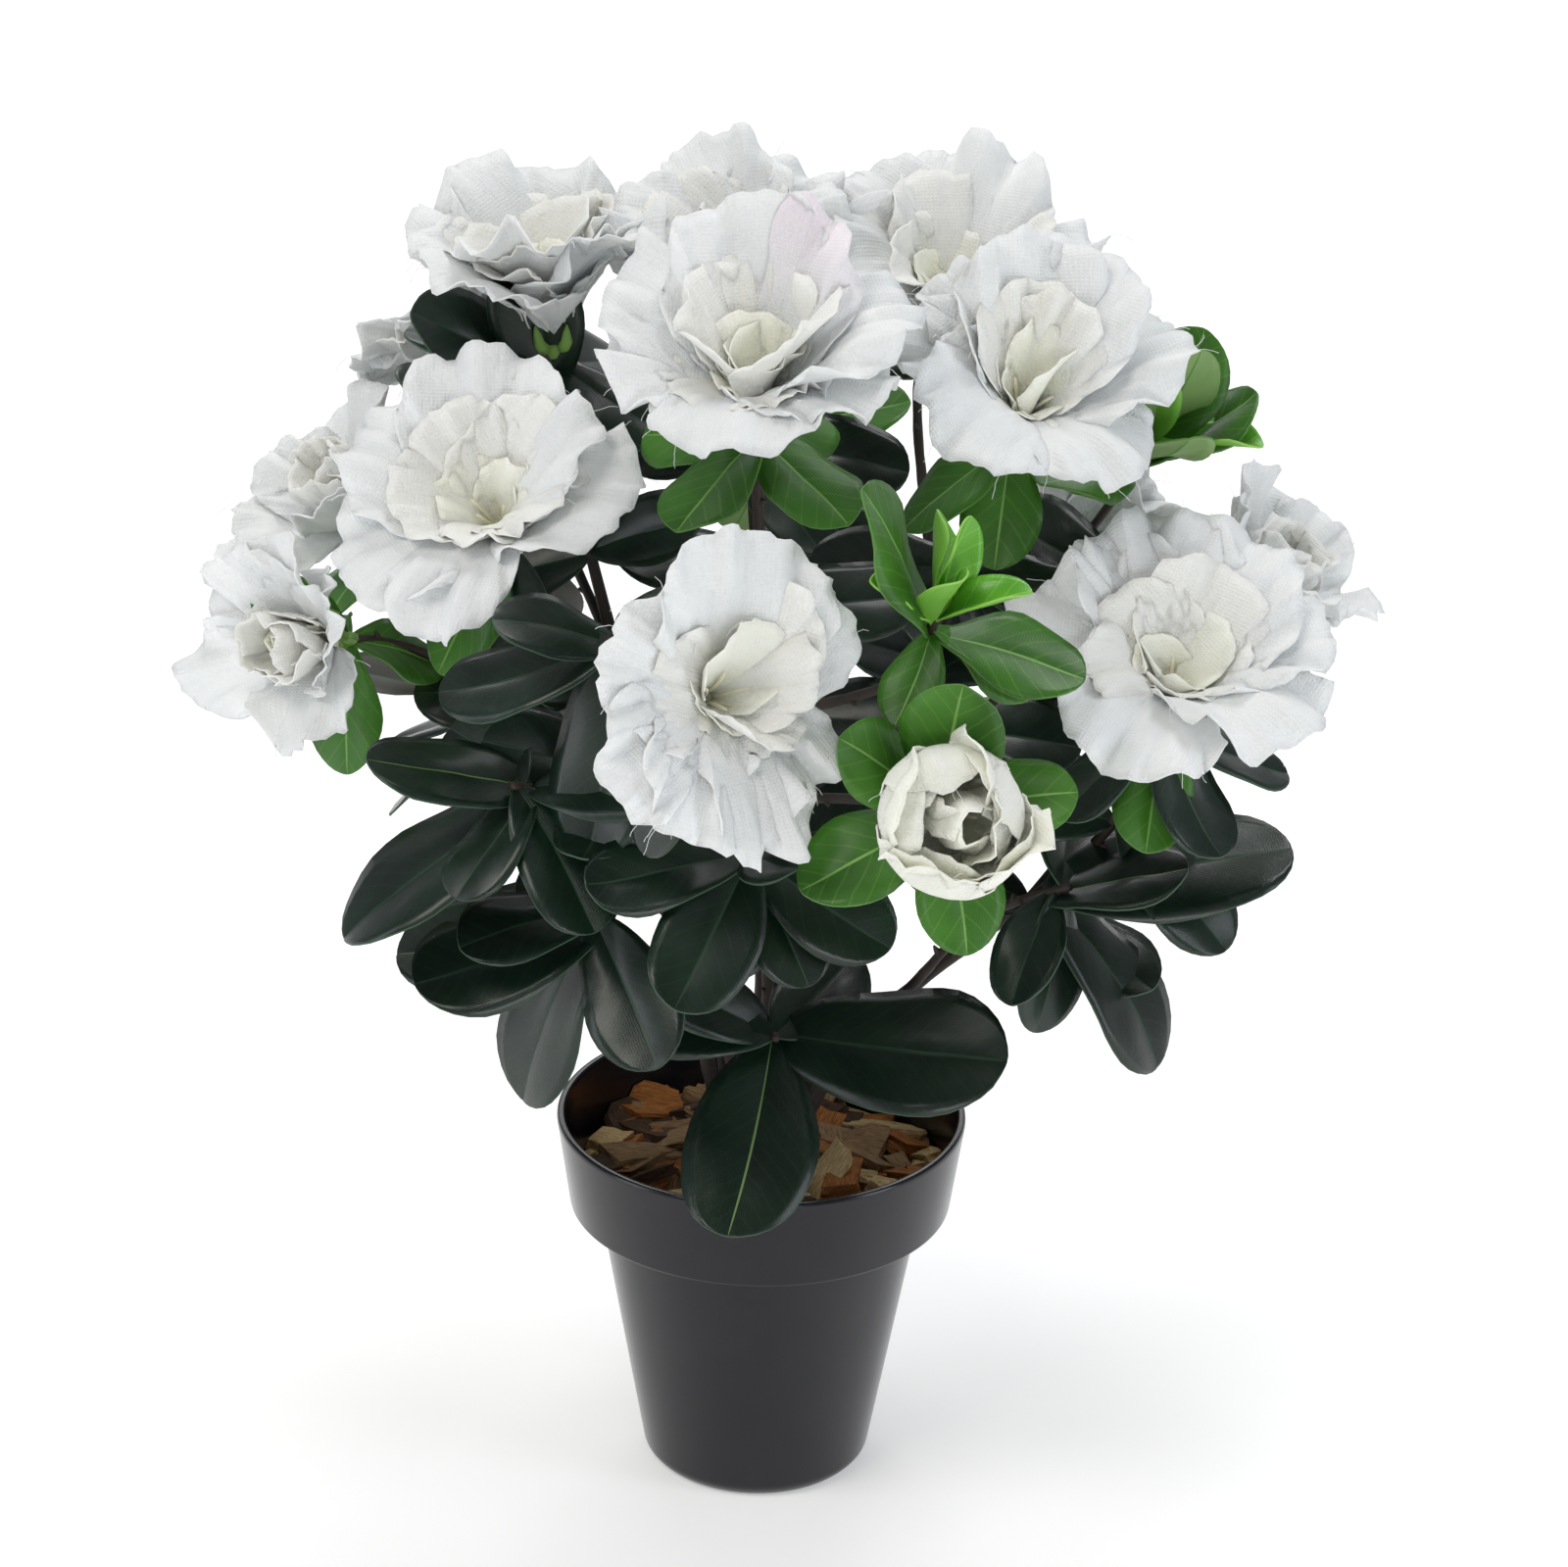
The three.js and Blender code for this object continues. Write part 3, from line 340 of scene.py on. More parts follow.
# Area lamps: name, place, aim, width, height, power and colour, in metres and watts.
LAMPS = [("Key", (-0.8, -0.95, 1.7), (0, 0, 0.2), 0.8, 0.8, 11, "#fffaf2"),
         ("Left", (-1.35, -0.45, 0.5), (0, 0, 0.2), 0.5, 1.2, 4.5, "#f4f8ff"),
         ("Right", (1.3, -0.6, 0.6), (0, 0, 0.2), 0.5, 1.2, 6, "#f4f8ff"),
         ("Front", (0.2, -1.7, 0.35), (0, 0, 0.3), 0.8, 0.4, 5, "#ffffff"),
         ("Top", (0.1, 0.5, 1.7), (0, 0, 0.2), 0.8, 0.8, 11, "#ffffff"),
         ("Floor", (0, 2.0, 1.4), (0, 1.5, 0), 2.0, 0.8, 14, "#ffffff")]
# Yaw turns the view to the right, pitch tips it down, both in degrees.
CAMERA = dict(place=(0, -1.33651, 0.79299), yaw=0.2043, pitch=23.3499, roll=1.1)

# --------------------------------------------------------------------- settings


class PotSettings(bpy.types.PropertyGroup):
    """Sizes of the pot and of the chips in it."""

    rim_radius: FloatProperty(name="Rim radius", description="Radius of the pot's rim", default=0.06,
                              unit="LENGTH")
    wall: FloatProperty(name="Wall", description="Thickness of the pot's wall", default=0.002,
                        unit="LENGTH")
    colour: StringProperty(name="Colour", description="sRGB hex of the pot's plastic",
                           default="#14151b")
    chips: IntProperty(name="Chips", description="How many wood chips lie in the pot", default=180)


class PlantSettings(bpy.types.PropertyGroup):
    """Sizes of the fabric and of the moulded parts of the plant."""

    petal_thickness: FloatProperty(name="Petal thickness", description="Thickness of the petal fabric",
                                   default=0.0004, unit="LENGTH")
    leaf_thickness: FloatProperty(name="Leaf thickness", description="Thickness of a leaf with its backing",
                                  default=0.0006, unit="LENGTH")
    dark_green: StringProperty(name="Dark green", description="sRGB hex of the old leaves",
                               default="#0d1c14")
    light_green: StringProperty(name="Light green", description="sRGB hex of the leaves by the blossoms",
                                default="#305d1a")
    bright_green: StringProperty(name="Bright green", description="sRGB hex of the young leaves",
                                 default="#55a026")
    stem_colour: StringProperty(name="Stems", description="sRGB hex of the moulded stems",
                                default="#231c18")


class StageSettings(bpy.types.PropertyGroup):
    """The camera, the lamps and the floor."""

    lens: FloatProperty(name="Lens", description="Focal length of the camera", default=117.405)
    floor_half: FloatProperty(name="Floor size", description="Half the width of the floor", default=14.0,
                              unit="LENGTH")
    floor_colour: StringProperty(name="Floor", description="sRGB hex of the floor", default="#f4f4f3")


# ---------------------------------------------------------------------- helpers


class Curve:
    """A cubic curve that is read by its own length."""

    def __init__(self, start, start_along, end, end_along, leave, arrive, parts=160):
        far = (end - start).length
        self.ends = start, start + start_along * far * leave, end - end_along * far * arrive, end
        self.marks = [0.0]
        before = start
        for i in range(1, parts + 1):
            here = self.raw(i / parts)
            self.marks.append(self.marks[-1] + (here - before).length)
            before = here

    def raw(self, t):
        a, b, c, d = self.ends
        u = 1 - t
        return a * u ** 3 + b * 3 * u * u * t + c * 3 * u * t * t + d * t ** 3

    def at(self, share):
        target = share * self.marks[-1]
        low = max(i for i, mark in enumerate(self.marks) if mark <= target + 1e-9)
        low = min(low, len(self.marks) - 2)
        span = self.marks[low + 1] - self.marks[low]
        return self.raw((low + (target - self.marks[low]) / span) / (len(self.marks) - 1))

    def along(self, share):
        return (self.at(min(share + 0.001, 1)) - self.at(max(share - 0.001, 0))).normalized()


def limbs():
    """The curves of the stems, by the spray that each carries, and of the branches."""
    stems, branches = {}, []
    for stem in STEMS:
        spray = next(spray for spray in SPRAYS if spray.name == stem["spray"])
        out = heading(stem["foot"], 0)
        start = out * STEM["ring"] * stem.get("ring", 1)
        start.z = FILLING_TOP
        along = (out * 0.12 + UP).normalized()
        stems[spray.name] = Curve(start, along, spray.root - spray.forward * GAP, spray.forward,
                                  STEM["handle"], stem.get("arrive", STEM["handle"]))
    for spray in SPRAYS:
        if spray.on:
            stem = stems[spray.on]
            start = stem.at(spray.at)
            out = (spray.root - start).normalized()
            along = (stem.along(spray.at) + out).normalized()
            branches.append(Curve(start, along, spray.root - spray.forward * GAP, spray.forward,
                                  BRANCH["handle"], BRANCH["handle"]))
    return stems, branches


def carried(points):
    """A normal and a binormal at each point of a line, carried along it without twist."""
    frames, normal = [], None
    for i in range(len(points)):
        tangent = (points[min(i + 1, len(points) - 1)] - points[max(i - 1, 0)]).normalized()
        if normal is None:
            normal = tangent.orthogonal()
        normal = (normal - tangent * normal.dot(tangent)).normalized()
        frames.append((normal, tangent.cross(normal)))
    return frames


def divided(bm, edges, cuts):
    """Cuts edges of a new island of geometry and returns all its vertices and faces."""
    result = bmesh.ops.subdivide_edges(bm, edges=list(edges), cuts=cuts, use_grid_fill=True)
    start = next(g for g in result["geom_inner"] if isinstance(g, bmesh.types.BMVert))
    found, todo = {start}, [start]
    while todo:
        v = todo.pop()
        for e in v.link_edges:
            other = e.other_vert(v)
            if other not in found:
                found.add(other)
                todo.append(other)
    return found, {f for v in found for f in v.link_faces}


def tube(bm, points, radii, sides, relief=0.0):
    """A closed tube through points, in mm. relief roughens its radius by that share."""
    depth = len(points) - 1
    made = bmesh.ops.create_cone(bm, cap_ends=True, segments=sides, radius1=1, radius2=1,
                                 depth=depth)["verts"]
    upright = {e for v in made for e in v.link_edges if abs(e.verts[0].co.z - e.verts[1].co.z) > depth / 2}
    verts, faces = divided(bm, upright, depth - 1)
    frames = carried(points)
    for v in verts:
        i = round(v.co.z + depth / 2)
        normal, binormal = frames[i]
        radius = radii[i]
        if relief:
            radius *= 1 + relief * noise.noise(points[i] * 0.35 + Vector((v.co.x, v.co.y, 0)) * 1.3)
        v.co = (points[i] + (normal * v.co.x + binormal * v.co.y) * radius) * MM
    for f in faces:
        f.smooth = True


def sheet(bm, rule, columns, rows, material, across=None):
    """A grid laid by rule(t, s), t -1..1 across and s 0..1 along, which gives a point
    in mm and its place on the flat cloth. material is a number or a rule of t and s."""
    uv = bm.loops.layers.uv.verify()
    first_face = len(bm.faces)
    made = bmesh.ops.create_grid(bm, x_segments=columns, y_segments=rows, size=0.5)["verts"]
    flat = {}
    places = {}
    for v in made:
        t, s = 2 * v.co.x, v.co.y + 0.5
        if across:
            t = across(t)
        places[v] = (t, s)
    for v, (t, s) in places.items():
        point, flat[v] = rule(t, s)
        v.co = point * MM
    bm.faces.ensure_lookup_table()
    for f in bm.faces[first_face:]:
        f.smooth = True
        t = sum(places[v][0] for v in f.verts) / 4
        s = sum(places[v][1] for v in f.verts) / 4
        f.material_index = material(t, s) if callable(material) else material
        for loop in f.loops:
            loop[uv].uv = flat[loop.vert] * MM


def place_piece(bm, name, materials, replaces):
    """Turns a bmesh into a piece of the plant that rides on the only body."""
    mesh = bpy.data.meshes.new(name)
    bm.to_mesh(mesh)
    bm.free()
    piece = bpy.data.objects.new(name, mesh)
    bpy.context.scene.collection.objects.link(piece)
    for material in materials:
        mesh.materials.append(material)
    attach(piece, "root")
    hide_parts(*replaces)
    return piece


def solidify(piece, thickness, under=0, rim=0):
    """Gives a sheet its thickness, downwards from the side that it was laid on. under
    and rim are the slots of its other side and of its cut edge, counted from its own."""
    wall = piece.modifiers.new("Thickness", "SOLIDIFY")
    wall.thickness = thickness
    wall.offset = -1
    wall.material_offset = under
    wall.material_offset_rim = rim


# -------------------------------------------------------------------- materials

# A wave texture repeats after this length at a scale of 1.
WAVE_LENGTH = math.pi / 10


def add(tree, kind, inputs=None, stops=(), **settings):
    """Adds a shader node and returns its outputs. inputs sets or links its sockets by
    name or number, and stops are the places and colours of a ramp."""
    node = tree.nodes.new("ShaderNode" + kind)
    for key, value in settings.items():
        setattr(node, key, value)
    for key, value in (inputs or {}).items():
        socket = node.inputs[key]
        if isinstance(value, bpy.types.NodeSocket):
            tree.links.new(value, socket)
        else:
            socket.default_value = value
    for i, (position, colour) in enumerate(stops):
        element = node.color_ramp.elements[i]
        element.position, element.color = position, linear(colour)
    return node.outputs


def material(name, colour, roughness, **sockets):
    """A material with one Principled shader. sockets are its other fixed values."""
    made = bpy.data.materials.new(name)
    made.use_nodes = True
    tree = made.node_tree
    shader = tree.nodes["Principled BSDF"]
    shader.inputs["Base Color"].default_value = linear(colour)
    shader.inputs["Roughness"].default_value = roughness
    for key, value in sockets.items():
        shader.inputs[key.replace("_", " ")].default_value = value
    made.diffuse_color = linear(colour)
    return made, tree, shader


def weave(tree, spacing, strength, distance, extra):
    """Bump of a plain weave on the flat cloth, its threads at a spacing in mm both ways,
    with an extra height on top."""
    cloth = add(tree, "TexCoord")["UV"]
    threads = [add(tree, "TexWave", {"Vector": cloth, "Scale": WAVE_LENGTH / (spacing * MM),
                                     "Distortion": 1.2, "Detail": 1.0, "Detail Scale": 0.6},
                   bands_direction=way)["Fac"] for way in "XY"]
    height = add(tree, "Math", {0: threads[0], 1: threads[1]}, operation="MAXIMUM")[0]
    height = add(tree, "Math", {0: height, 1: extra}, operation="ADD")[0]
    return add(tree, "Bump", {"Height": height, "Strength": strength, "Distance": distance * MM})["Normal"]


def petal_cloth(name, colour, shade, blush=None):
    """Woven white polyester, heat-pressed: soft, faintly see-through, with its threads
    and pressed creases showing in raking light."""
    made, tree, shader = material(name, colour, 0.62, Subsurface_Weight=0.35, Subsurface_Scale=0.002,
                                  Sheen_Weight=0.12, Sheen_Roughness=0.5, Specular_IOR_Level=0.32)
    shader.inputs["Subsurface Radius"].default_value = (1.0, 0.96, 0.86)
    where = add(tree, "TexCoord")
    cloud = add(tree, "TexNoise", {"Vector": where["Object"], "Scale": 55.0, "Detail": 3.0})["Fac"]
    tint = add(tree, "ValToRGB", {"Fac": cloud}, stops=[(0.3, shade), (0.7, colour)])["Color"]
    if blush:
        # Sprayed on from the middle of the petal to its edge.
        flat = add(tree, "SeparateXYZ", {0: where["UV"]})
        sprayed = add(tree, "MapRange", {"Value": flat["Y"], "From Min": 0.088, "From Max": 0.122,
                                         "To Max": 0.8})["Result"]
        tint = add(tree, "Mix", {"Factor": sprayed, 6: tint, 7: linear(blush)}, data_type="RGBA")[2]
    tree.links.new(tint, shader.inputs["Base Color"])
    # Pressed creases run from the claw to the edge, about 5 mm apart.
    cloth = add(tree, "Mapping", {"Vector": where["UV"], "Scale": (1.0, 0.3, 1.0)})[0]
    crumple = add(tree, "TexNoise", {"Vector": cloth, "Scale": 190.0, "Detail": 4.0})["Fac"]
    deep = add(tree, "Math", {0: crumple, 1: 9.0}, operation="MULTIPLY")[0]
    # Real threads lie 0.3 mm apart; they are drawn at 1 mm so that they show.
    tree.links.new(weave(tree, 1.0, 0.8, 0.16, deep), shader.inputs["Normal"])
    return made


def leaf_cloth(name, dark, pale, vein, roughness, vein_share, blotch=None, coat=0.0):
    """Printed green satin on a backing, waxed: its threads break up the highlights, and
    side veins are printed a little paler than the blade."""
    made, tree, shader = material(name, dark, roughness, Coat_Weight=coat, Coat_Roughness=0.22,
                                  Specular_IOR_Level=0.3)
    where = add(tree, "TexCoord")
    cloud = add(tree, "TexNoise", {"Vector": where["Object"], "Scale": 42.0, "Detail": 3.0})["Fac"]
    colour = add(tree, "ValToRGB", {"Fac": cloud}, stops=[(0.35, dark), (0.68, pale)])["Color"]
    flat = add(tree, "SeparateXYZ", {0: where["UV"]})
    aside = add(tree, "Math", {0: flat["X"]}, operation="ABSOLUTE")[0]
    lean = add(tree, "Math", {0: aside, 1: -1.1, 2: flat["Y"]}, operation="MULTIPLY_ADD")[0]
    line = add(tree, "CombineXYZ", {"X": lean, "Y": flat["X"]})[0]
    # Side veins leave the midrib every 6 mm.
    veins = add(tree, "TexWave", {"Vector": line, "Scale": WAVE_LENGTH / (6 * MM), "Distortion": 2.6,
                                  "Detail": 3.0, "Detail Scale": 1.4}, bands_direction="X")["Fac"]
    thin = add(tree, "MapRange", {"Value": veins, "From Min": 0.93, "From Max": 1.0,
                                  "To Max": vein_share})["Result"]
    colour = add(tree, "Mix", {"Factor": thin, 6: colour, 7: linear(vein)}, data_type="RGBA")[2]
    if blotch:
        spots = add(tree, "TexNoise", {"Vector": where["Object"], "Scale": 95.0, "Detail": 5.0,
                                       "Roughness": 0.7})["Fac"]
        few = add(tree, "MapRange", {"Value": spots, "From Min": 0.66, "From Max": 0.76,
                                     "To Max": 0.75})["Result"]
        colour = add(tree, "Mix", {"Factor": few, 6: colour, 7: linear(blotch)}, data_type="RGBA")[2]
    tree.links.new(colour, shader.inputs["Base Color"])
    grain = add(tree, "TexNoise", {"Vector": where["Object"], "Scale": 1500.0, "Detail": 2.0})["Fac"]
    sharp = add(tree, "Math", {0: grain, 1: 1.2}, operation="MULTIPLY")[0]
    tree.links.new(weave(tree, 0.7, 0.4, 0.1, sharp), shader.inputs["Normal"])
    return made


def moulded(name, colour, other, roughness, grain, depth, **sockets):
    """Moulded or pressed plastic: an even colour with faint clouding and a fine grain."""
    made, tree, shader = material(name, colour, roughness, **sockets)
    place = add(tree, "TexCoord")["Object"]
    cloud = add(tree, "TexNoise", {"Vector": place, "Scale": 70.0, "Detail": 4.0})["Fac"]
    tint = add(tree, "ValToRGB", {"Fac": cloud}, stops=[(0.35, colour), (0.7, other)])["Color"]
    tree.links.new(tint, shader.inputs["Base Color"])
    fine = add(tree, "TexNoise", {"Vector": place, "Scale": grain, "Detail": 3.0})["Fac"]
    bump = add(tree, "Bump", {"Height": fine, "Strength": 0.5, "Distance": depth * MM})["Normal"]
    tree.links.new(bump, shader.inputs["Normal"])
    return made


def chipped_wood(name, dark, pale):
    """Split softwood chips: fibres along the chip, dull, darker in their hollows as grain and as painted
    shade.
    """
    made, tree, shader = material(name, pale, 0.82, Specular_IOR_Level=0.3)
    # Fibres are 0.5 mm wide and run about ten times as long.
    along = add(tree, "Mapping", {"Vector": add(tree, "TexCoord")["UV"], "Scale": (1.0, 9.0, 1.0)})[0]
    fibre = add(tree, "TexNoise", {"Vector": along, "Scale": 230.0, "Detail": 5.0, "Roughness": 0.65})["Fac"]
    # Darker where the fibre bump is low: grain and painted shade in the hollows.
    tint = add(tree, "ValToRGB", {"Fac": fibre}, stops=[(0.32, dark), (0.6, pale)])["Color"]
    tree.links.new(tint, shader.inputs["Base Color"])
    bump = add(tree, "Bump", {"Height": fibre, "Strength": 0.9, "Distance": 0.5 * MM})["Normal"]
    tree.links.new(bump, shader.inputs["Normal"])
    return made


# ------------------------------------------------------------------------ petals

PETAL_FORMS = {
    # Columns and rows of the sheet; heights of the waves and of a fold in mm, and the
    # most that it twists in degrees; the share of the blossom's roundness that it takes
    # across; the share of its length where the waves begin; how far it strays from its
    # row; and the height of its pleats in mm.
    "outer": dict(grid=(58, 13), wave=6.2, fold=-4.2, twist=12, cup=0.45, margin=0.46, loose=1.0, pleat=1.5),
    "middle": dict(grid=(44, 12), wave=4.8, fold=6.0, twist=20, cup=0.6, margin=0.4, loose=1.0, pleat=1.3),
    "inner": dict(grid=(24, 10), wave=3.0, fold=5.5, twist=32, cup=0.6, margin=0.3, loose=1.0, pleat=0.8),
    "bud": dict(grid=(36, 16), wave=1.3, fold=1.2, twist=6, cup=1.0, margin=0.6, loose=0.12, pleat=0.3),
}

# Waves round a blossom: the fewest, the most, and their share of the height.
RUFFLE_WAVES = ((4, 6, 0.4), (11, 15, 0.6), (19, 24, 0.5), (33, 41, 0.24))
# The centre and the half length of a petal's cut ellipse, as shares of the petal's length.
PETAL_CENTRE, PETAL_RADIUS = 0.56, 0.44
PETAL_STEPS = 24
# Random phases are drawn from this range.
PHASES = (0, 6.28)


class Ruffle:
    """The waves of one layer of a blossom. Its petals share them, so they lie together."""

    def __init__(self, rng, layer):
        self.form = PETAL_FORMS[layer]
        self.waves = [(rng.uniform(low, high), rng.uniform(*PHASES), share)
                      for low, high, share in RUFFLE_WAVES]
        self.place = rng.uniform(0, 40)

    def at(self, angle, far):
        swell = 0.65 + 0.7 * noise.noise(Vector((2.2 * math.cos(angle), 2.2 * math.sin(angle), self.place)))
        return far * swell * self.form["wave"] * sum(
            share * math.sin(count * angle + phase) for count, phase, share in self.waves)


def petal(bm, rng, frame, throat, row, layer, ruffle, slot, threads=None):
    """One petal: a cut ellipse on a claw, pressed along a curved middle line and waved
    at its edge. row is its spin about the blossom's axis, its length and width, and
    the headings of its middle line from the axis outwards, in degrees."""
    spin, length, width, start, end = row
    form = PETAL_FORMS[layer]
    forward, side, up = frame
    angle = math.radians(spin)
    out = up * math.cos(angle) - side * math.sin(angle)
    wide = up * math.sin(angle) + side * math.cos(angle)
    # The middle line: its points, directions, normals and headings.
    here, line = throat - forward * 1.0 + out * 0.6, []
    slow = 1 + rng.uniform(-0.2, 0.25) * form["loose"]
    for i in range(PETAL_STEPS + 1):
        share = i / PETAL_STEPS
        lift = math.radians(mix(start, end, share ** slow))
        along = forward * math.cos(lift) + out * math.sin(lift)
        normal = forward * math.sin(lift) - out * math.cos(lift)
        line.append((here.copy(), along, normal, lift))
        here = here + along * (length / PETAL_STEPS)
    phase, other = rng.uniform(*PHASES), rng.uniform(*PHASES)
    curl = [rng.uniform(-0.4, 1.0) * form["loose"] for _ in range(2)]
    roll = rng.uniform(-0.8, 1.6) * form["loose"]
    tilt = rng.uniform(0.8, 1.9)
    twist = math.radians(rng.uniform(-1, 1) * form["twist"])
    folds = [(rng.uniform(-0.7, 0.7), rng.uniform(0.13, 0.3), rng.uniform(-0.3, 1) * form["fold"])
             for _ in range(2)]
    notch = rng.choice((0.0, 0.03, 0.06))

    def rule(t, s):
        # The cut: an ellipse with a wavy and jagged edge, on a claw.
        turn = t * 2.25
        reach = s ** 0.85
        edge = 1 + 0.03 * math.sin(3.1 * turn + phase) + 0.03 * math.sin(8.3 * turn + other)
        edge += 0.018 * math.sin(15 * turn + phase) - notch * math.exp(-(turn / 0.2) ** 2)
        jag = 0.8 * noise.noise(Vector((turn * 13 + phase, spin * 0.1, length)))
        jag += 0.7 * noise.noise(Vector((turn * 37 + other, spin * 0.1, length)))
        v = max(PETAL_CENTRE * length * reach
                + math.cos(turn) * reach * (PETAL_RADIUS * edge * length + jag), 0.0)
        w = math.sin(turn) * reach * (width / 2) * edge
        w = math.copysign(max(abs(w), abs(t) * 1.3 * (1 - reach)), t) if t else 0.0
        # Where it lies along the middle line.
        place = min(v / length, 0.9999) * PETAL_STEPS
        low = int(place)
        a, b = line[low], line[low + 1]
        centre = a[0].lerp(b[0], place - low)
        if v > length:
            centre = centre + line[PETAL_STEPS][1] * (v - length)
        along, normal, lift = a[1], a[2], mix(a[3], b[3], place - low)
        # Across, it bends round the blossom's axis.
        radial = max((centre - throat).dot(out), 4.0)
        bend = min(form["cup"] * max(math.cos(lift), 0.12) / radial, 2.1 / (width / 2))
        arc = (1 - math.cos(bend * w)) / bend
        across = math.sin(bend * w) / bend
        # Its height over that bend: waves, a tilt, pleats, folds, a curled edge, a rolled
        # tip and crumpling.
        far = max(0.0, (s - form["margin"]) / (1 - form["margin"])) ** 1.5
        round_at = angle - math.atan2(w, v + 3)
        high = arc + ruffle.at(round_at, far) * min(1.0, length / 54) + tilt * w / (width / 2)
        high += far * 0.45 * math.sin(23 * turn + other)
        high += form["pleat"] * s ** 0.7 * noise.noise(Vector((w * 0.3 + phase, v * 0.035 + other, spin)))
        for middle, broad, height in folds:
            high += height * math.exp(-((t - middle) / broad) ** 2) * s * s
        high -= curl[0 if t > 0 else 1] * (abs(t) ** 4) * far * 3.4
        high -= roll * max(0.0, v / length - 0.7) ** 2 * length * 0.4
        high += 0.9 * noise.noise(Vector((w * 0.09 + phase, v * 0.09 + other, spin * 0.05))) * s
        # The whole twists from the claw to the edge.
        lean = twist * s
        point = centre + along * (-0.12 * arc)
        point = point + wide * (across * math.cos(lean) - high * math.sin(lean)) \
            + normal * (high * math.cos(lean) + across * math.sin(lean))
        return point, Vector((w + spin, v + length))

    sheet(bm, rule, *form["grid"], slot, across=lambda t: t * (1.12 - 0.12 * t * t))
    for _ in range(rng.choice((2, 3, 5)) if threads else 0):
        t = rng.uniform(-0.85, 0.85)
        edge, inside = rule(t, 1.0)[0], rule(t, 0.92)[0]
        thread(threads, rng, edge - (edge - inside) * 0.1, edge - inside, rng.uniform(2.5, 8), 0.09)


def thread(bm, rng, start, along, length, radius):
    """A frayed thread that stands off an edge and sags."""
    points, here, way = [], start.copy(), along.normalized()
    steps = 5
    for _ in range(steps + 1):
        points.append(here.copy())
        way = (way + Vector([rng.uniform(-0.35, 0.35) for _ in range(3)]) - Vector((0, 0, 0.12))).normalized()
        here = here + way * (length / steps)
    tube(bm, points, [radius] * len(points), 3)


def blossom_layers(spray, rng):
    """The petals of a blossom as a layer and its row of spin, sizes and headings."""
    form = BLOSSOM_FORMS.get(spray.name)
    size = spray.size
    if form:
        for layer in PETAL_LAYERS:
            for row in form[layer]:
                yield layer, row
        return
    for layer, (count, long, broad, start, end, first) in COMMON_FORMS[spray.opening].items():
        for i in range(count):
            spin = first + 360 * i / count + rng.uniform(-9, 9)
            yield layer, (spin, long * size * rng.uniform(0.92, 1.06), broad * size * rng.uniform(0.9, 1.08),
                          start + rng.uniform(-6, 6), end + rng.uniform(-9, 9))


# ------------------------------------------------------------------------ leaves

LEAF_FORMS = {
    # Powers that shape the outline (low its base, tip and sharp its end), the waves of
    # the edge as a share of the length, the height of its teeth in mm, and how far the
    # blade arches down from the midrib.
    "dark": dict(low=0.6, tip=2.1, sharp=0.5, wave=0.028, serration=0.0, camber=0.14),
    "light": dict(low=0.72, tip=2.1, sharp=0.6, wave=0.05, serration=0.22, camber=0.2),
    "bright": dict(low=0.9, tip=2.0, sharp=0.6, wave=0.03, serration=0.0, camber=-0.5),
}


def leaf(bm, rng, root, face, turn, lift, length, kind, pale=False):
    """One leaf: a blade with a raised printed midrib, folded a little along it."""
    form = LEAF_FORMS[kind]
    forward, side, up = frame_at(heading(turn, lift), heading(*face) + UP * 0.8)
    half = length * LEAF_WIDTH[kind] / 2

    def outline(u):
        return u ** form["low"] * (1 - u ** form["tip"]) ** form["sharp"]

    peak = max(outline(i / 50) for i in range(51))
    phase, other = rng.uniform(*PHASES), rng.uniform(*PHASES)
    fold = rng.uniform(0.1, 0.26)
    twist = rng.uniform(-0.3, 0.3)
    sway = rng.uniform(-0.05, 0.05)
    droop = rng.uniform(0.05, 0.16)
    hook = rng.uniform(-0.05, 0.1)

    def rule(t, s):
        # The cut: half its width at this place, with a stalk, a blunt tip and teeth.
        u = (1 - math.cos(math.pi * s)) / 2
        # Its last step stops short of the tip, where the outline would close.
        h = half * (u ** form["low"] * (1 - min(u, 0.999) ** form["tip"]) ** form["sharp"] / peak)
        h = max(h * (1 + 0.02 * math.sin(9 * u + phase)), 0.75 if u < 0.5 else 0.25)
        w = t * h
        w += math.copysign(form["serration"] * abs(t) ** 6 * math.sin(u * length * 1.9), t)
        size = abs(w)
        v = u * length
        # Its height: folded and arched along the midrib, drooping, hooked at the tip.
        high = size * fold - form["camber"] * size * size / half
        high -= droop * length * u * u - hook * length * u ** 5
        high += form["wave"] * length * abs(t) ** 2.2 * math.sin(7.5 * u + phase + (1.7 if t > 0 else 0)) \
            * math.sin(math.pi * u)
        high += 0.5 * noise.noise(Vector((w * 0.14 + other, v * 0.12, phase)))
        high -= 0.35 * math.exp(-(w / 0.9) ** 2) * math.sin(math.pi * u)
        turned = twist * u
        across = w * math.cos(turned) - high * math.sin(turned) * 0.4
        high = high + w * math.sin(turned)
        point = root + forward * (v - 0.06 * length * u * u * droop) \
            - side * (across + sway * length * math.sin(math.pi * u * 0.9)) + up * high
        return point, Vector((w, v))

    rib = 0.018 if pale else 0.03
    midrib = PALE_MIDRIB if pale else 1

    def across(t):
        # Of ten columns the two in the middle hold the midrib.
        size = abs(t)
        return math.copysign(rib * size / 0.2 if size < 0.2 else mix(rib, 1, (size - 0.2) / 0.8), t)

    sheet(bm, rule, 10, 18, lambda t, s: midrib if abs(t) < rib and s < 0.93 else 0, across=across)


# ------------------------------------------------------------------------- pot


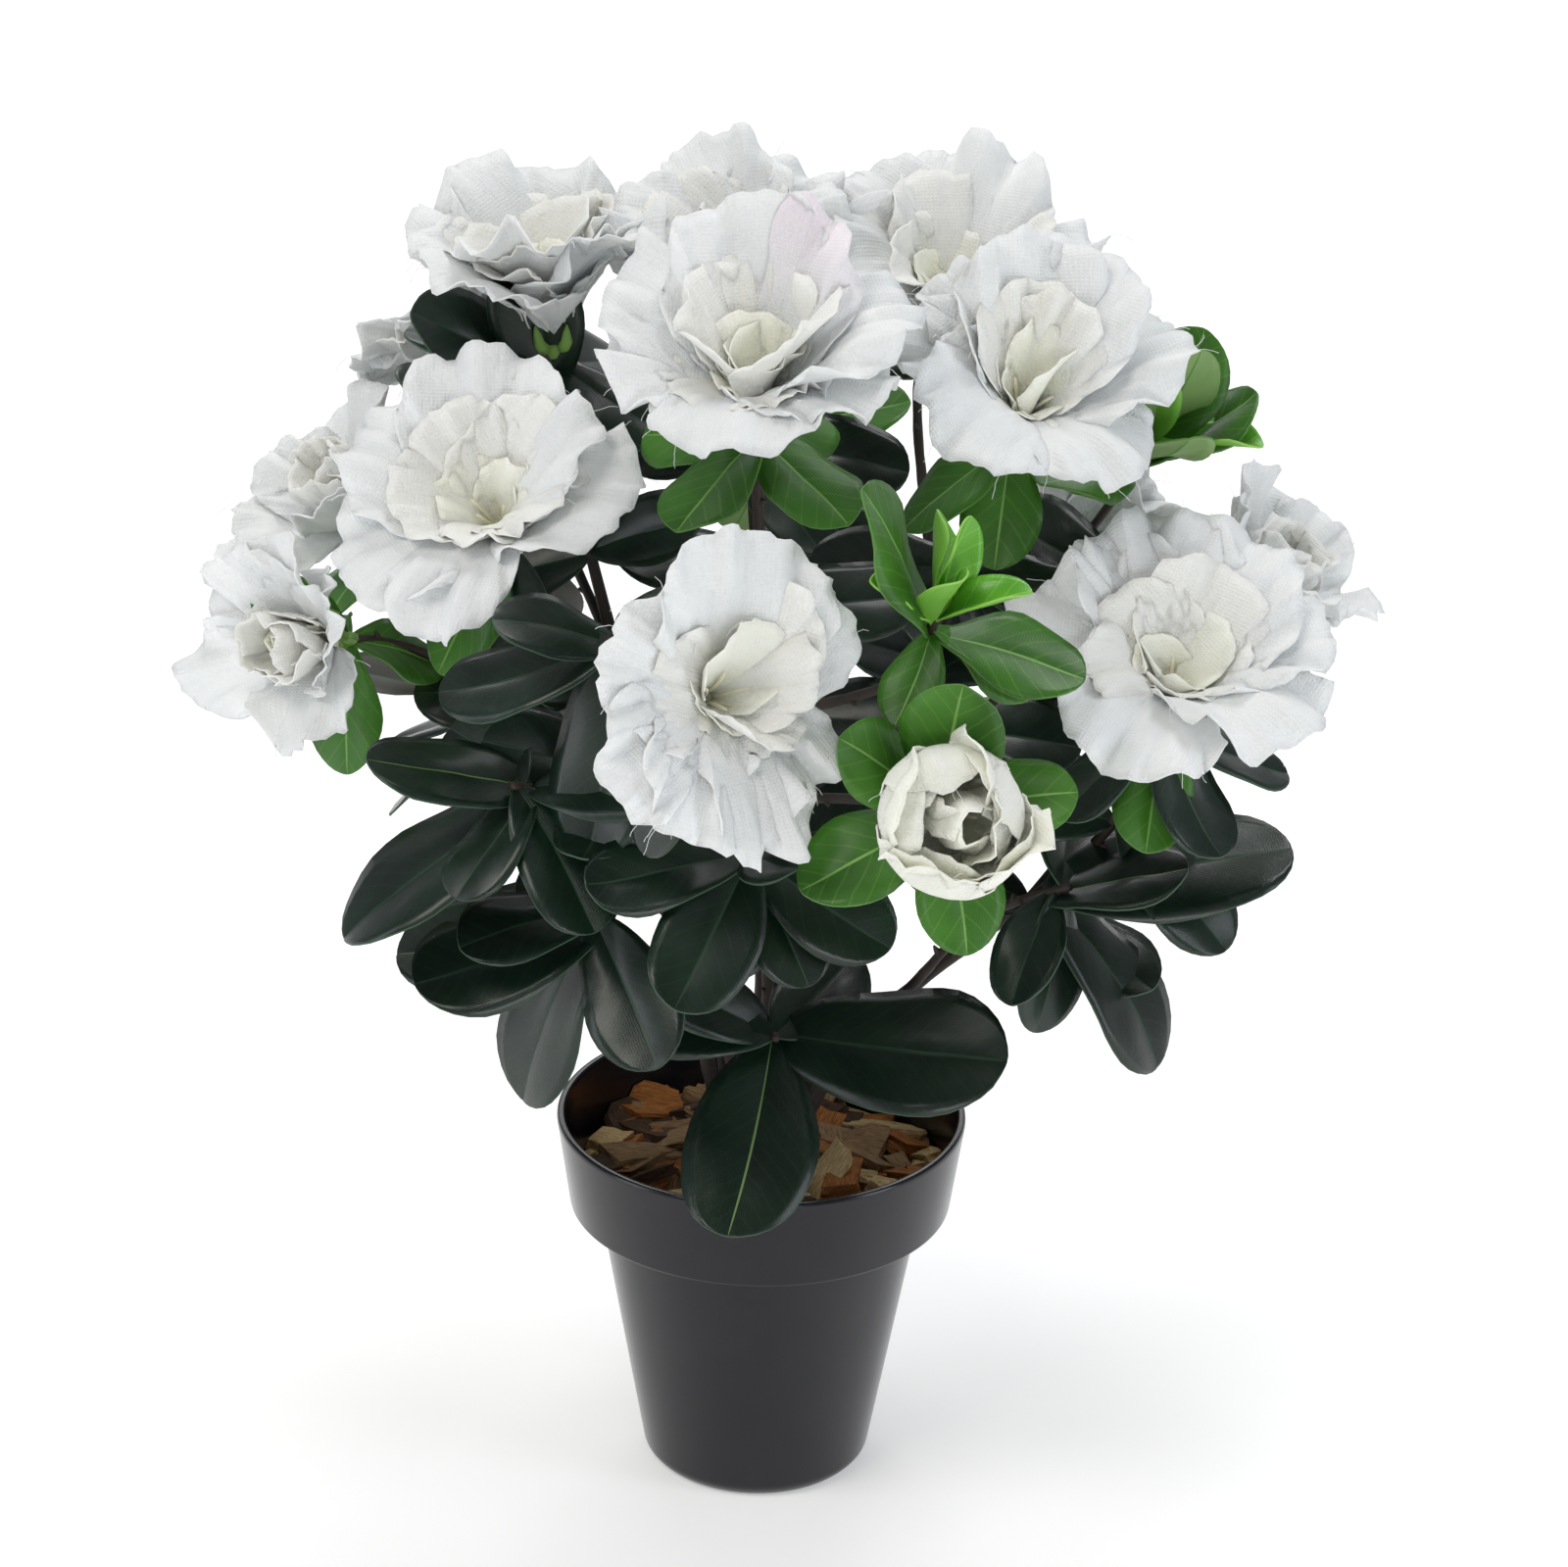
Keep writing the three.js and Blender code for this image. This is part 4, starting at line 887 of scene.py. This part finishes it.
def filleted(corners, sweep=5):
    """A profile of (radius, height) with each corner rounded by its own radius."""
    points = []
    for i, (x, z, radius) in enumerate(corners):
        here = Vector((x, z))
        if not radius or i in (0, len(corners) - 1):
            points.append(here)
            continue
        before = Vector(corners[i - 1][:2]) - here
        after = Vector(corners[i + 1][:2]) - here
        room = min(radius, before.length * 0.45, after.length * 0.45)
        a, b = here + before.normalized() * room, here + after.normalized() * room
        for k in range(sweep + 1):
            t = k / sweep
            points.append(a * (1 - t) ** 2 + here * 2 * t * (1 - t) + b * t * t)
    return points


def chip(bm, rng, centre, turn, size, tilt, material_index):
    """One split chip: a skewed block with rough faces. size is length, width, height."""
    uv = bm.loops.layers.uv.verify()
    made = bmesh.ops.create_cube(bm, size=1)["verts"]
    verts, faces = divided(bm, {e for v in made for e in v.link_edges}, 2)
    seed = Vector([rng.uniform(0, 50) for _ in range(3)])
    skew, taper = rng.uniform(-0.5, 0.5), rng.uniform(0.0, 0.45)
    bow = rng.uniform(-0.12, 0.12)
    spin = Matrix.Rotation(turn, 3, "Z") @ Matrix.Rotation(tilt[0], 3, "X") @ Matrix.Rotation(tilt[1], 3, "Y")
    start = seed.x * 10
    for f in faces:
        f.material_index = material_index
        f.smooth = False
        for loop in f.loops:
            co = loop.vert.co
            loop[uv].uv = (start + co.x * size[0] * MM, seed.y + (co.y * size[1] + co.z * size[2]) * MM)
    for v in verts:
        co = v.co.copy()
        rough = noise.noise_vector(co * 2.1 + seed) * 0.16
        x = co.x + skew * co.y * 0.5 + rough.x * 0.5
        y = co.y * (1 - taper * (co.x + 0.5)) + rough.y + 0.1 * noise.noise(Vector((co.x * 5, seed.x, 0)))
        z = co.z * (1 - 0.35 * abs(co.x)) + rough.z * 0.8 + bow * (1 - 4 * co.x * co.x)
        at = spin @ Vector((x * size[0], y * size[1], z * size[2])) + centre
        flat = Vector((at.x, at.y))
        wall = pot_inside(at.z) - 0.5
        if flat.length > wall:
            flat *= wall / flat.length
        v.co = Vector((flat.x, flat.y, at.z)) * MM


def pot_inside(height):
    """The pot's inner radius at a height, in mm."""
    if height > RIM_HEIGHT - BAND_HEIGHT:
        share = (height - RIM_HEIGHT + BAND_HEIGHT) / BAND_HEIGHT
        return mix(POT_INSIDE["ledge"], POT_INSIDE["rim"], share)
    return POT_INSIDE["body"]


# -------------------------------------------------------------------- operators


class AZALEA_OT_pot(bpy.types.Operator):
    """Builds the pot from one filleted profile spun round its axis."""

    bl_idname = "azalea.pot"
    bl_label = "Pot"

    def execute(self, context):
        settings = context.scene.azalea_pot
        rim, wall = settings.rim_radius / MM, settings.wall / MM
        # Radius, height and corner radius, from the underside round the rim to the inside.
        profile = filleted([
            (0.0, 5.0, 0), (26.0, 5.0, 1.5), (27.5, 0.0, 1.2), (30.5, 0.0, 1.5), (33.4, 3.0, 3.0),
            (47.5, 82.6, 1.2), (48.4, 83.6, 0.8), (rim - 4.1, 83.5, 1.1), (rim - 0.1, 110.9, 0.9),
            (rim - 0.5, 112.0, 0.5), (rim - wall - 0.3, 112.0, 0.5), (rim - wall - 0.6, 110.8, 0.8),
            (rim - wall - 3.9, 85.4, 1.0), (45.6, 84.6, 0.8), (31.2, 9.0, 3.0), (0.0, 8.5, 0)])
        bm = bmesh.new()
        ring = [bm.verts.new((p.x * MM, 0, p.y * MM)) for p in profile]
        edges = [bm.edges.new(pair) for pair in zip(ring, ring[1:])]
        bmesh.ops.spin(bm, geom=ring + edges, axis=(0, 0, 1), cent=(0, 0, 0), steps=128,
                       angle=2 * math.pi, use_merge=True)
        bmesh.ops.remove_doubles(bm, verts=bm.verts, dist=0.00002)
        bmesh.ops.recalc_face_normals(bm, faces=bm.faces)
        for f in bm.faces:
            f.smooth = True
        plastic = moulded("Gloss anthracite polypropylene, moulded", settings.colour, "#1a191d", 0.2, 500,
                          0.01, Specular_IOR_Level=0.4)
        place_piece(bm, "pot", [plastic], ["pot"])
        return {"FINISHED"}


class AZALEA_OT_filling(bpy.types.Operator):
    """Gives the weight in the pot its cast finish."""

    bl_idname = "azalea.filling"
    bl_label = "Filling"

    def execute(self, context):
        weight = frame["nodes"]["filling"]
        weight.data.materials.clear()
        weight.data.materials.append(moulded("Grey cement weight, cast", "#8a8780", "#77746e", 0.9, 400, 0.3))
        return {"FINISHED"}


class AZALEA_OT_chips(bpy.types.Operator):
    """Strews split wood chips over a bed inside the pot."""

    bl_idname = "azalea.chips"
    bl_label = "Wood chips"

    def execute(self, context):
        rng = random.Random(11)
        # Unseeded, noise vectors differ from run to run.
        noise.seed_set(11)
        bm = bmesh.new()
        uv = bm.loops.layers.uv.verify()
        bed, reach, count = CHIP_BED["radius"], CHIP_BED["reach"], context.scene.azalea_pot.chips
        bmesh.ops.create_cone(bm, cap_ends=True, segments=64, radius1=bed * MM, radius2=(bed + 0.5) * MM,
                              depth=CHIP_BED["height"] * MM)
        bmesh.ops.translate(bm, verts=bm.verts, vec=(0, 0, CHIP_BED["middle"] * MM))
        for f in bm.faces:
            for loop in f.loops:
                loop[uv].uv = loop.vert.co.xy
        for i in range(count):
            radius = reach * math.sqrt(rng.random())
            turn = rng.uniform(0, 2 * math.pi)
            x, y = radius * math.cos(turn), radius * math.sin(turn)
            # Later chips lie higher, and the heap falls off to the right and to the wall.
            low = 3.0 * max(0.0, (x - 24) / 30)
            z = (CHIP_BED["surface"] + 6.0 * (i / count) - low - 2.5 * (radius / reach) ** 4
                 + rng.uniform(-0.8, 0.8))
            size = (rng.uniform(12, 30) * (1.0 if rng.random() < 0.65 else 0.6), rng.uniform(6, 14),
                    rng.uniform(2.6, 6.0))
            tilt = (math.radians(rng.gauss(0, 16)), math.radians(rng.gauss(0, 13)))
            kind = rng.choices(range(len(WOODS)), [wood[3] for wood in WOODS])[0]
            chip(bm, rng, Vector((x, y, z)), rng.uniform(0, 2 * math.pi), size, tilt, kind)
        woods = [chipped_wood(*wood[:3]) for wood in WOODS]
        place_piece(bm, "wood_chips", woods, ["wood_chips"])
        return {"FINISHED"}


class AZALEA_OT_stems(bpy.types.Operator):
    """Moulds the stems and the branches with their buds, and the sprays' stalks."""

    bl_idname = "azalea.stems"
    bl_label = "Stems"

    def execute(self, context):
        rng = random.Random(5)
        bm = bmesh.new()
        stems, branches = limbs()
        for curves, form, sides, steps in ((stems.values(), STEM, 12, 64), (branches, BRANCH, 8, 26)):
            for curve in curves:
                points = [curve.at(i / steps) for i in range(steps + 1)]
                wander = Vector([rng.uniform(0, 30) for _ in range(3)])
                radii = [mix(form["foot_radius"], form["tip_radius"], (i / steps) ** 0.8)
                         * (1 + 0.12 * noise.noise(points[i] * 0.12 + wander)) for i in range(steps + 1)]
                tube(bm, points, radii, sides, 0.14)
                count = int(curve.marks[-1] / 15)
                for k in range(count):
                    share = (k + rng.uniform(0.3, 0.8)) / count
                    if share > 0.97:
                        continue
                    at, along = curve.at(share), curve.along(share)
                    turn = Matrix.Rotation(k * 2.4 + rng.uniform(-0.4, 0.4), 3, along)
                    out = (turn @ along.orthogonal()).normalized()
                    reach = rng.uniform(2.6, 4.6)
                    tip = (out + along * 0.9).normalized()
                    tube(bm, [at, at + tip * reach * 0.55, at + tip * reach], [1.25, 0.9, 0.35], 6)
        for spray in SPRAYS:
            points = [spray.root + spray.forward * (spray.stalk * i / 6) for i in range(7)]
            tube(bm, points, [STALK["radius"] * (1 - 0.03 * i) for i in range(7)], 8, 0.1)
        plastic = moulded("Dark brown polyethylene stem, moulded over wire",
                          context.scene.azalea_plant.stem_colour, "#3a2e27", 0.62, 650, 0.25)
        nodes = [name for name in frame["nodes"] if name.startswith(("stem_", "branch_"))]
        place_piece(bm, "stems", [plastic], nodes)
        return {"FINISHED"}


class AZALEA_OT_leaves(bpy.types.Operator):
    """Grows the fabric leaves of every spray, one piece for each kind of leaf."""

    bl_idname = "azalea.leaves"
    bl_label = "Leaves"

    def execute(self, context):
        settings = context.scene.azalea_plant
        rng = random.Random(23)
        kinds = {kind: bmesh.new() for kind in LEAF_WIDTH}
        nodes = {kind: set() for kind in LEAF_WIDTH}
        for spray in SPRAYS:
            for i, row in enumerate(spray.leaves):
                turn, lift, length = row[:3]
                kind = row[3] if len(row) > 3 else spray.kind
                # Under a blossom they stand in one whorl, in a rosette along its stalk.
                reach = 3.0 if spray.size else 2.5 + 12.0 * (i + 0.5) / len(spray.leaves)
                # A leaf that points away from its spray's face turns its upper side outwards.
                apart = abs((turn - spray.face[0] + 180) % 360 - 180)
                upper = spray.face if apart < 80 else (turn * 0.6, 24)
                leaf(kinds[kind], rng, spray.root + spray.forward * reach, upper, turn, lift, length, kind,
                     "pale" in row)
                nodes[kind].add(spray.node)
        stems = limbs()[0]
        for name, at, leaves in UNDERGROWTH:
            stem = stems[name]
            along = stem.along(at)
            for turn, lift, length in leaves:
                # They turn their upper sides to the front, where the crown is open.
                leaf(kinds["dark"], rng, stem.at(at) + along * rng.uniform(-3, 3), (turn * 0.3, 12), turn,
                     lift, length, "dark")
        blades = dict(
            dark=leaf_cloth("Dark green waxed satin leaf, printed", settings.dark_green, "#152a1e",
                            "#24402d", 0.3, 0.2, coat=0.42),
            light=leaf_cloth("Mid green waxed satin leaf, printed", settings.light_green, "#457c27",
                             "#74a044", 0.36, 0.22, blotch="#4f4422", coat=0.12),
            bright=leaf_cloth("Bright green moulded leaf", settings.bright_green, "#74bb3a", "#a8d862",
                              0.26, 0.25, coat=0.35))
        for kind, blade in blades.items():
            parts = [moulded(name, colour, other, roughness, LEAF_GRAIN, depth)
                     for name, colour, other, roughness, depth in LEAF_PARTS[kind]]
            piece = place_piece(kinds[kind], f"leaves_{kind}", [blade] + parts,
                                sorted(nodes[kind]))
            solidify(piece, settings.leaf_thickness, LEAF_BACKING, LEAF_EDGE)
        return {"FINISHED"}


class AZALEA_OT_calyxes(bpy.types.Operator):
    """Moulds the green cup with five sepals under every blossom."""

    bl_idname = "azalea.calyxes"
    bl_label = "Calyxes"

    def execute(self, context):
        rng = random.Random(31)
        bm = bmesh.new()
        # Places before the throat and radii of the cup.
        cup = [(-9.5, 1.5), (-7.5, 2.3), (-5, 3.6), (-2.8, 4.2), (-1.8, 3.8)]
        for spray in BLOSSOMS:
            face, throat = spray.forward, spray.throat
            tube(bm, [throat + face * z for z, _ in cup], [r for _, r in cup], 12)
            side, up = frame_at(face, UP)[1:]
            reach, rise = SEPAL_TIPS[spray.opening]
            for k in range(5):
                angle = math.radians(k * 72 + rng.uniform(-8, 8))
                out = up * math.cos(angle) - side * math.sin(angle)
                base = throat - face * 3.5 + out * 3.6
                tip = throat + out * reach + face * (rise + rng.uniform(-0.5, 0.5))
                mid = base.lerp(tip, 0.5) + out * 0.8 - face * 1.6
                points = [base, base.lerp(mid, 0.6), mid, mid.lerp(tip, 0.6), tip]
                tube(bm, points, [1.5, 2.0, 1.8, 1.1, 0.3], 6)
        green = moulded("Light green polyethylene calyx, moulded", "#6f9a44", "#86ad55", 0.45, 700, 0.06)
        place_piece(bm, "calyxes", [green], [spray.node for spray in BLOSSOMS])
        return {"FINISHED"}


class AZALEA_OT_blossoms(bpy.types.Operator):
    """Presses the fabric petals of every blossom, one piece for each layer and two for
    the outer one, with the stamens and the frayed threads."""

    bl_idname = "azalea.blossoms"
    bl_label = "Blossoms"

    def execute(self, context):
        settings = context.scene.azalea_plant
        pieces = {name: bmesh.new() for name in ("outer_front", "outer_back", "middle", "inner")}
        hearts, threads = bmesh.new(), bmesh.new()
        for spray in BLOSSOMS:
            rng = random.Random("blossom " + spray.name)
            face, throat = spray.forward, spray.throat
            axes = frame_at(face, UP)
            # A closed blossom is a ball of cream petals, which all lie in the inner piece, whose cloth
            # carries painted light.
            closed = spray.opening == "cup"
            forms = {layer: "bud" if closed and layer != "inner" else layer for layer in PETAL_LAYERS}
            ruffles = {layer: Ruffle(rng, forms[layer]) for layer in PETAL_LAYERS}
            homes = dict(outer="outer_front" if spray.name in BLOSSOM_FORMS else "outer_back")
            for layer, row in blossom_layers(spray, rng):
                blush = 1 if (spray.name, layer, row[0]) == BLUSH else 0
                home = "inner" if closed else homes.get(layer, layer)
                petal(pieces[home], rng, axes, throat, row, forms[layer], ruffles[layer], blush,
                      threads if layer == "outer" else None)
            tube(hearts, [throat - face * 3.6, throat - face * 1.0, throat + face * 0.6], [3.3, 2.9, 1.2], 10)
            for k in range(5):
                lean = Matrix.Rotation(k * 1.26 + rng.uniform(-0.4, 0.4), 3, face) @ axes[2]
                reach = rng.uniform(11, 16)
                spread = rng.uniform(0.15, 0.55)
                points = [throat + lean * (1.5 + reach * spread * (i / 6) ** 1.6) + face * (reach * i / 6)
                          for i in range(7)]
                tube(hearts, points, [0.6, 0.65, 0.6, 0.55, 0.5, 0.55, 0.3], 6)
        # The middle and inner cloths carry painted light: they are paler than the outer one to offset the
        # shade inside the blossoms.
        cloths = {layer: petal_cloth(f"{tone} polyester petal cloth, pressed", colour, shade)
                  for layer, (tone, colour, shade) in PETAL_COLOURS.items()}
        blushed = petal_cloth("White polyester petal cloth, blushed pink", *PETAL_COLOURS["outer"][1:],
                              "#f0dfea")
        names = [spray.node for spray in BLOSSOMS]
        for name, bm in pieces.items():
            layer = name.split("_")[0]
            piece = place_piece(bm, f"petals_{name}", [cloths[layer], blushed], names)
            solidify(piece, settings.petal_thickness)
        cream = moulded("Cream polyethylene stamen, moulded", "#efeedd", "#e4dfc2", 0.5, 700, 0.05)
        place_piece(hearts, "stamens", [cream], names)
        frayed = material("White polyester thread, frayed", "#f2f3f3", 0.7)[0]
        place_piece(threads, "threads", [frayed], names)
        return {"FINISHED"}


class AZALEA_OT_stage(bpy.types.Operator):
    """Sets up the pale floor, the soft lamps, the world and the camera."""

    bl_idname = "azalea.stage"
    bl_label = "Stage"

    def execute(self, context):
        scene, settings = context.scene, context.scene.azalea_stage
        bm = bmesh.new()
        bmesh.ops.create_grid(bm, x_segments=2, y_segments=2, size=settings.floor_half)
        mesh = bpy.data.meshes.new("floor")
        bm.to_mesh(mesh)
        bm.free()
        floor = bpy.data.objects.new("floor", mesh)
        scene.collection.objects.link(floor)
        mesh.materials.append(material("Matt white floor", settings.floor_colour, 0.9, Specular_IOR_Level=0.1,
                                       Emission_Color=(1, 1, 1, 1), Emission_Strength=0.34)[0])
        world = bpy.data.worlds.new("Pale room")
        scene.world = world
        world.use_nodes = True
        world.node_tree.nodes["Background"].inputs["Color"].default_value = linear("#f2f5fa")
        world.node_tree.nodes["Background"].inputs["Strength"].default_value = 0.24
        for name, place, aim, width, height, power, colour in LAMPS:
            data = bpy.data.lights.new(name, "AREA")
            data.shape, data.size, data.size_y = "RECTANGLE", width, height
            data.energy, data.color = power, linear(colour)[:3]
            lamp = bpy.data.objects.new(name, data)
            scene.collection.objects.link(lamp)
            lamp.location = place
            lamp.rotation_euler = (Vector(aim) - lamp.location).to_track_quat("-Z", "Y").to_euler()
        data = bpy.data.cameras.new("Camera")
        data.sensor_fit, data.sensor_width, data.lens = "HORIZONTAL", 36, settings.lens
        camera = bpy.data.objects.new("Camera", data)
        scene.collection.objects.link(camera)
        yaw, pitch, roll = (math.radians(CAMERA[key]) for key in ("yaw", "pitch", "roll"))
        forward = Vector((math.sin(yaw) * math.cos(pitch), math.cos(yaw) * math.cos(pitch), -math.sin(pitch)))
        right = Vector((math.cos(yaw), -math.sin(yaw), 0))
        above = right.cross(forward)
        across = right * math.cos(roll) + above * math.sin(roll)
        turned = Matrix((across, above * math.cos(roll) - right * math.sin(roll), -forward)).transposed()
        camera.matrix_world = Matrix.Translation(CAMERA["place"]) @ turned.to_4x4()
        scene.camera = camera
        scene.view_settings.view_transform = "Standard"
        return {"FINISHED"}


class AZALEA_PT_panel(bpy.types.Panel):
    """The azalea's settings and the steps that build it."""

    bl_label = "Azalea"
    bl_idname = "AZALEA_PT_panel"
    bl_space_type = "VIEW_3D"
    bl_region_type = "UI"
    bl_category = "Azalea"

    def draw(self, context):
        scene = context.scene
        for settings in (scene.azalea_pot, scene.azalea_plant, scene.azalea_stage):
            box = self.layout.box()
            for name in settings.__annotations__:
                box.prop(settings, name)
        for operator in OPERATORS:
            self.layout.operator(operator.bl_idname)


OPERATORS = (AZALEA_OT_pot, AZALEA_OT_filling, AZALEA_OT_chips, AZALEA_OT_stems, AZALEA_OT_leaves,
             AZALEA_OT_calyxes, AZALEA_OT_blossoms, AZALEA_OT_stage)
CLASSES = (PotSettings, PlantSettings, StageSettings) + OPERATORS + (AZALEA_PT_panel,)


def register():
    for cls in CLASSES:
        bpy.utils.register_class(cls)
    bpy.types.Scene.azalea_pot = PointerProperty(type=PotSettings)
    bpy.types.Scene.azalea_plant = PointerProperty(type=PlantSettings)
    bpy.types.Scene.azalea_stage = PointerProperty(type=StageSettings)


def unregister():
    del bpy.types.Scene.azalea_stage
    del bpy.types.Scene.azalea_plant
    del bpy.types.Scene.azalea_pot
    for cls in reversed(CLASSES):
        bpy.utils.unregister_class(cls)


def main():
    register()
    bpy.ops.azalea.pot()
    bpy.ops.azalea.filling()
    bpy.ops.azalea.chips()
    bpy.ops.azalea.stems()
    bpy.ops.azalea.leaves()
    bpy.ops.azalea.calyxes()
    bpy.ops.azalea.blossoms()
    bpy.ops.azalea.stage()


if __name__ == "__main__":
    main()
